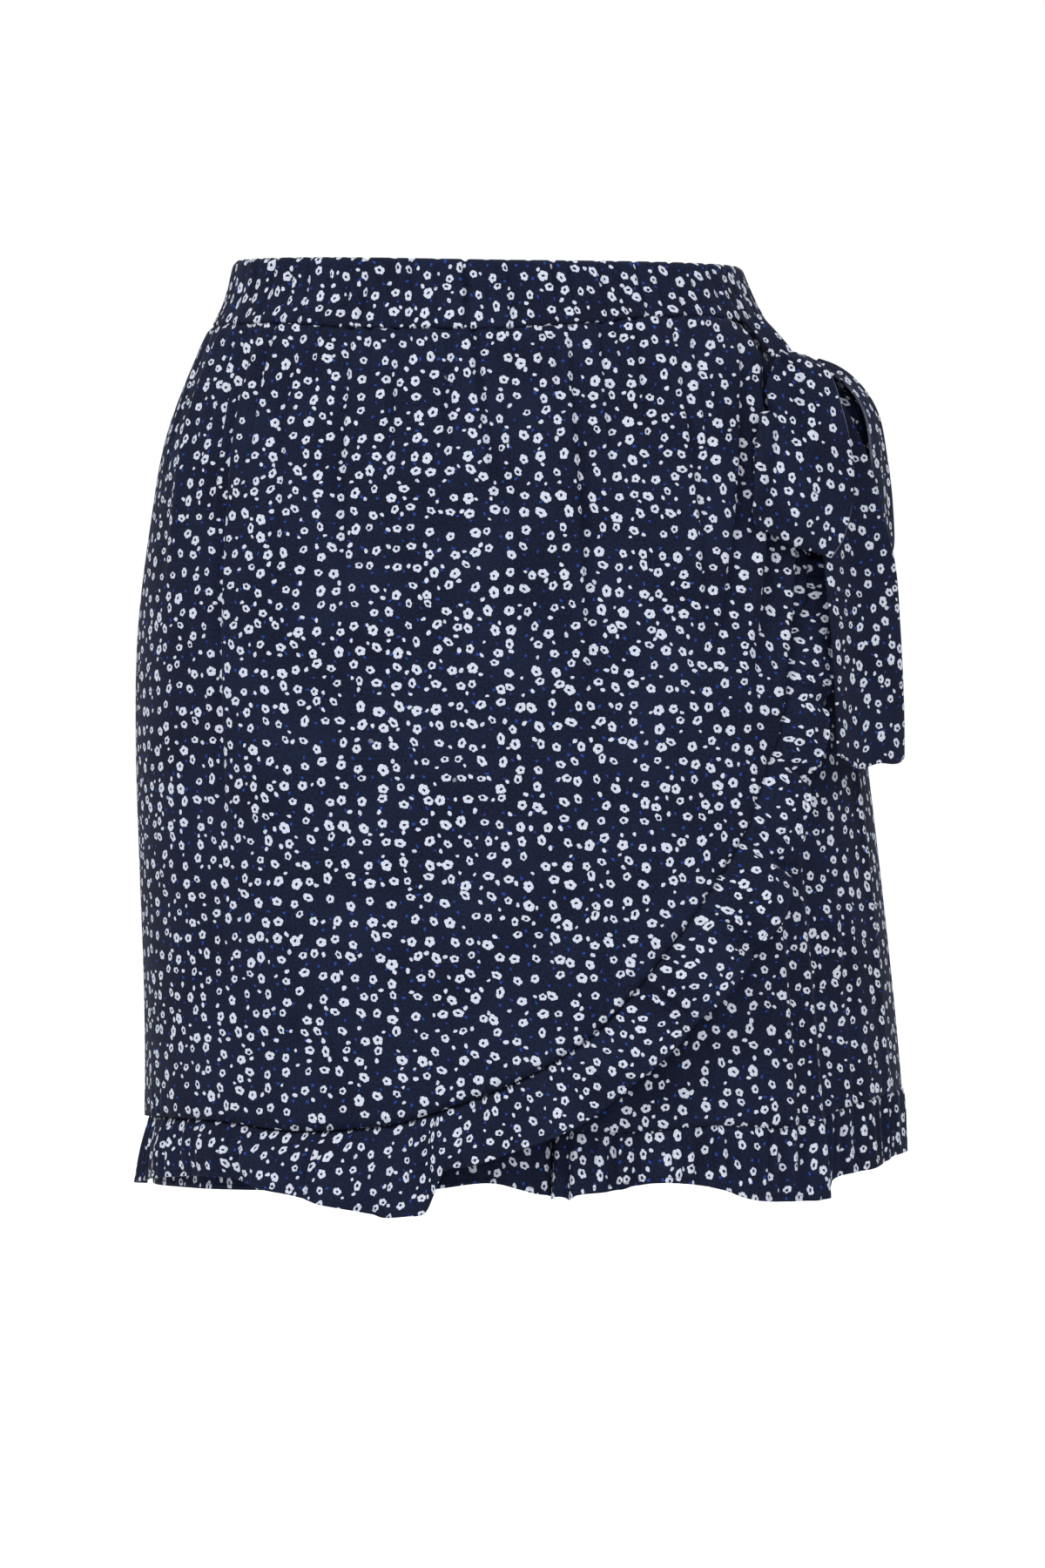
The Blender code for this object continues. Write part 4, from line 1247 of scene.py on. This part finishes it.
def printed_crepe(name, strength):
    """Navy crepe with small flowers, buds and blue dots, and a painted highlight along the loops' edges;
    `strength` is 1 on the printed side.
    """
    cloth = Cloth(name)
    place = cloth.node("ShaderNodeUVMap", {"uv_map": "cloth"}).outputs["UV"]
    wobble, wobble_colour = cloth.noise(place, 900.0, 1.0)
    centred = cloth.vector("SUBTRACT", wobble_colour, (0.5, 0.5, 0.5))
    ragged = cloth.vector("MULTIPLY_ADD", centred, (RAGGED, RAGGED, 0.0), place)
    petals, middle, marks = flowers(cloth, ragged)
    bud_gap, dot_gap = FLOWER_GAP
    white_buds = buds(cloth, ragged, (0.531, 0.277, 0.0), BUD_SPACING, BUD_RADIUS, 1.45, bud_gap)
    blue_dots = buds(cloth, ragged, (0.913, 0.648, 0.0), DOT_SPACING, DOT_RADIUS, 1.6, dot_gap)
    white = cloth.math("MAXIMUM", petals * (1 - middle), white_buds)
    faded = cloth.noise(place, 28.0, 3.0)[0]
    mottled = wobble * 0.6 + faded * 0.4
    ground = cloth.mix(cloth.step(mottled, 0.36, 0.60), shade(NAVY, 0.58), shade(NAVY, 1.08))
    petal = cloth.mix(marks, PETAL, PETAL_SHADE)
    coloured = cloth.mix(blue_dots * (1 - white), ground, BLUE)
    coloured = cloth.mix(white * strength, coloured, petal)
    hem = cloth.node("ShaderNodeUVMap", {"uv_map": "hem"}).outputs["UV"]
    hem_parts = cloth.node("ShaderNodeSeparateXYZ", {}, {"Vector": hem})
    from_edge = cloth.number(hem_parts.outputs[1])
    stitch_line = cloth.step(from_edge, *STITCH_NEAR) * cloth.step(from_edge, *STITCH_FAR)
    coloured = cloth.mix(stitch_line * 0.45, coloured, shade(NAVY, 0.5))
    # painted highlight: a thin lighter line along a loop's edge, where the fold would catch the light
    far, near = PAINTED_HIGHLIGHT_SIDES
    painted_highlight = cloth.step(from_edge, LIGHT_EDGE_AT + far, LIGHT_EDGE_AT + near)
    painted_highlight = painted_highlight * cloth.step(from_edge, LIGHT_EDGE_AT - far, LIGHT_EDGE_AT - near)
    coloured = cloth.mix(painted_highlight * cloth.step(faded, 0.35, 0.60) * 0.8, coloured, LIGHT_EDGE)
    cloth.feed(cloth.shader.inputs["Base Color"], coloured)
    weave = cloth.noise(place, 2600.0, 2.0)[0]
    threads = cloth.node("ShaderNodeTexWave", {"wave_type": "BANDS", "bands_direction": "X"},
                         {"Vector": place, "Scale": 900.0, "Distortion": 3.0, "Detail": 1.0})
    grain = weave * 0.7 + cloth.number(threads.outputs["Fac"]) * 0.3
    cloth.feed(cloth.shader.inputs["Roughness"], 0.74 + grain * 0.16)
    relief_height = grain * 0.00012 - stitch_line * 0.00025
    bump = cloth.node("ShaderNodeBump", {}, {"Strength": 0.55, "Distance": 1.0, "Height": relief_height})
    cloth.feed(cloth.shader.inputs["Normal"], bump.outputs["Normal"])
    cloth.shader.inputs["Specular IOR Level"].default_value = 0.06
    cloth.shader.inputs["Sheen Weight"].default_value = 0.02
    cloth.shader.inputs["Sheen Roughness"].default_value = 0.4
    return cloth.material


# ---- studio
def make_studio():
    scene = bpy.context.scene
    scene.view_settings.view_transform = "Standard"
    camera_data = bpy.data.cameras.new("camera")
    camera_data.sensor_fit = "HORIZONTAL"
    camera_data.sensor_width = SENSOR
    camera_data.lens = SENSOR * CAMERA_DISTANCE / VIEW_WIDTH
    camera = add_object("camera", camera_data)
    camera.location = (CAMERA_X, -CAMERA_DISTANCE, CAMERA_Z)
    camera.rotation_euler = (math.radians(90), 0, 0)
    scene.camera = camera

    world = bpy.data.worlds.new("studio")
    world.use_nodes = True
    tree = world.node_tree
    soft = tree.nodes["Background"]
    white = tree.nodes.new("ShaderNodeBackground")
    for background, strength in ((soft, AMBIENT), (white, SURROUND)):
        background.inputs["Color"].default_value = (1, 1, 1, 1)
        background.inputs["Strength"].default_value = strength
    seen = tree.nodes.new("ShaderNodeLightPath")
    either = tree.nodes.new("ShaderNodeMixShader")
    tree.links.new(seen.outputs["Is Camera Ray"], either.inputs[0])
    tree.links.new(soft.outputs[0], either.inputs[1])
    tree.links.new(white.outputs[0], either.inputs[2])
    tree.links.new(either.outputs[0], tree.nodes["World Output"].inputs[0])
    scene.world = world

    for name, turn, rise, spread, power in LIGHTS:
        light = bpy.data.lights.new(name, "SUN")
        light.angle = math.radians(spread)
        light.energy = power
        lamp = add_object(name, light)
        lamp.rotation_euler = (math.radians(90 - rise), 0, math.radians(turn))

    paper = Cloth("pale_paper")
    paper.shader.inputs["Base Color"].default_value = (0.93, 0.93, 0.93, 1)
    paper.shader.inputs["Roughness"].default_value = 0.9
    mesh = bpy.data.meshes.new("floor")
    around = ((-1, -1), (1, -1), (1, 1), (-1, 1))
    corners = [(x * FLOOR_REACH, y * FLOOR_REACH, FLOOR) for x, y in around]
    mesh.from_pydata(corners, [], [(0, 1, 2, 3)])
    mesh.materials.append(paper.material)
    floor = add_object("floor", mesh)


PRINT = printed_crepe("printed_crepe", 1.0)
WRONG_SIDE = printed_crepe("crepe_wrong_side", 0.30)

make_waistband()
make_shorts()
make_leg_ruffles()
make_wrap_panel()
make_wrap_ruffle()
make_bow()
make_knot()
make_studio()
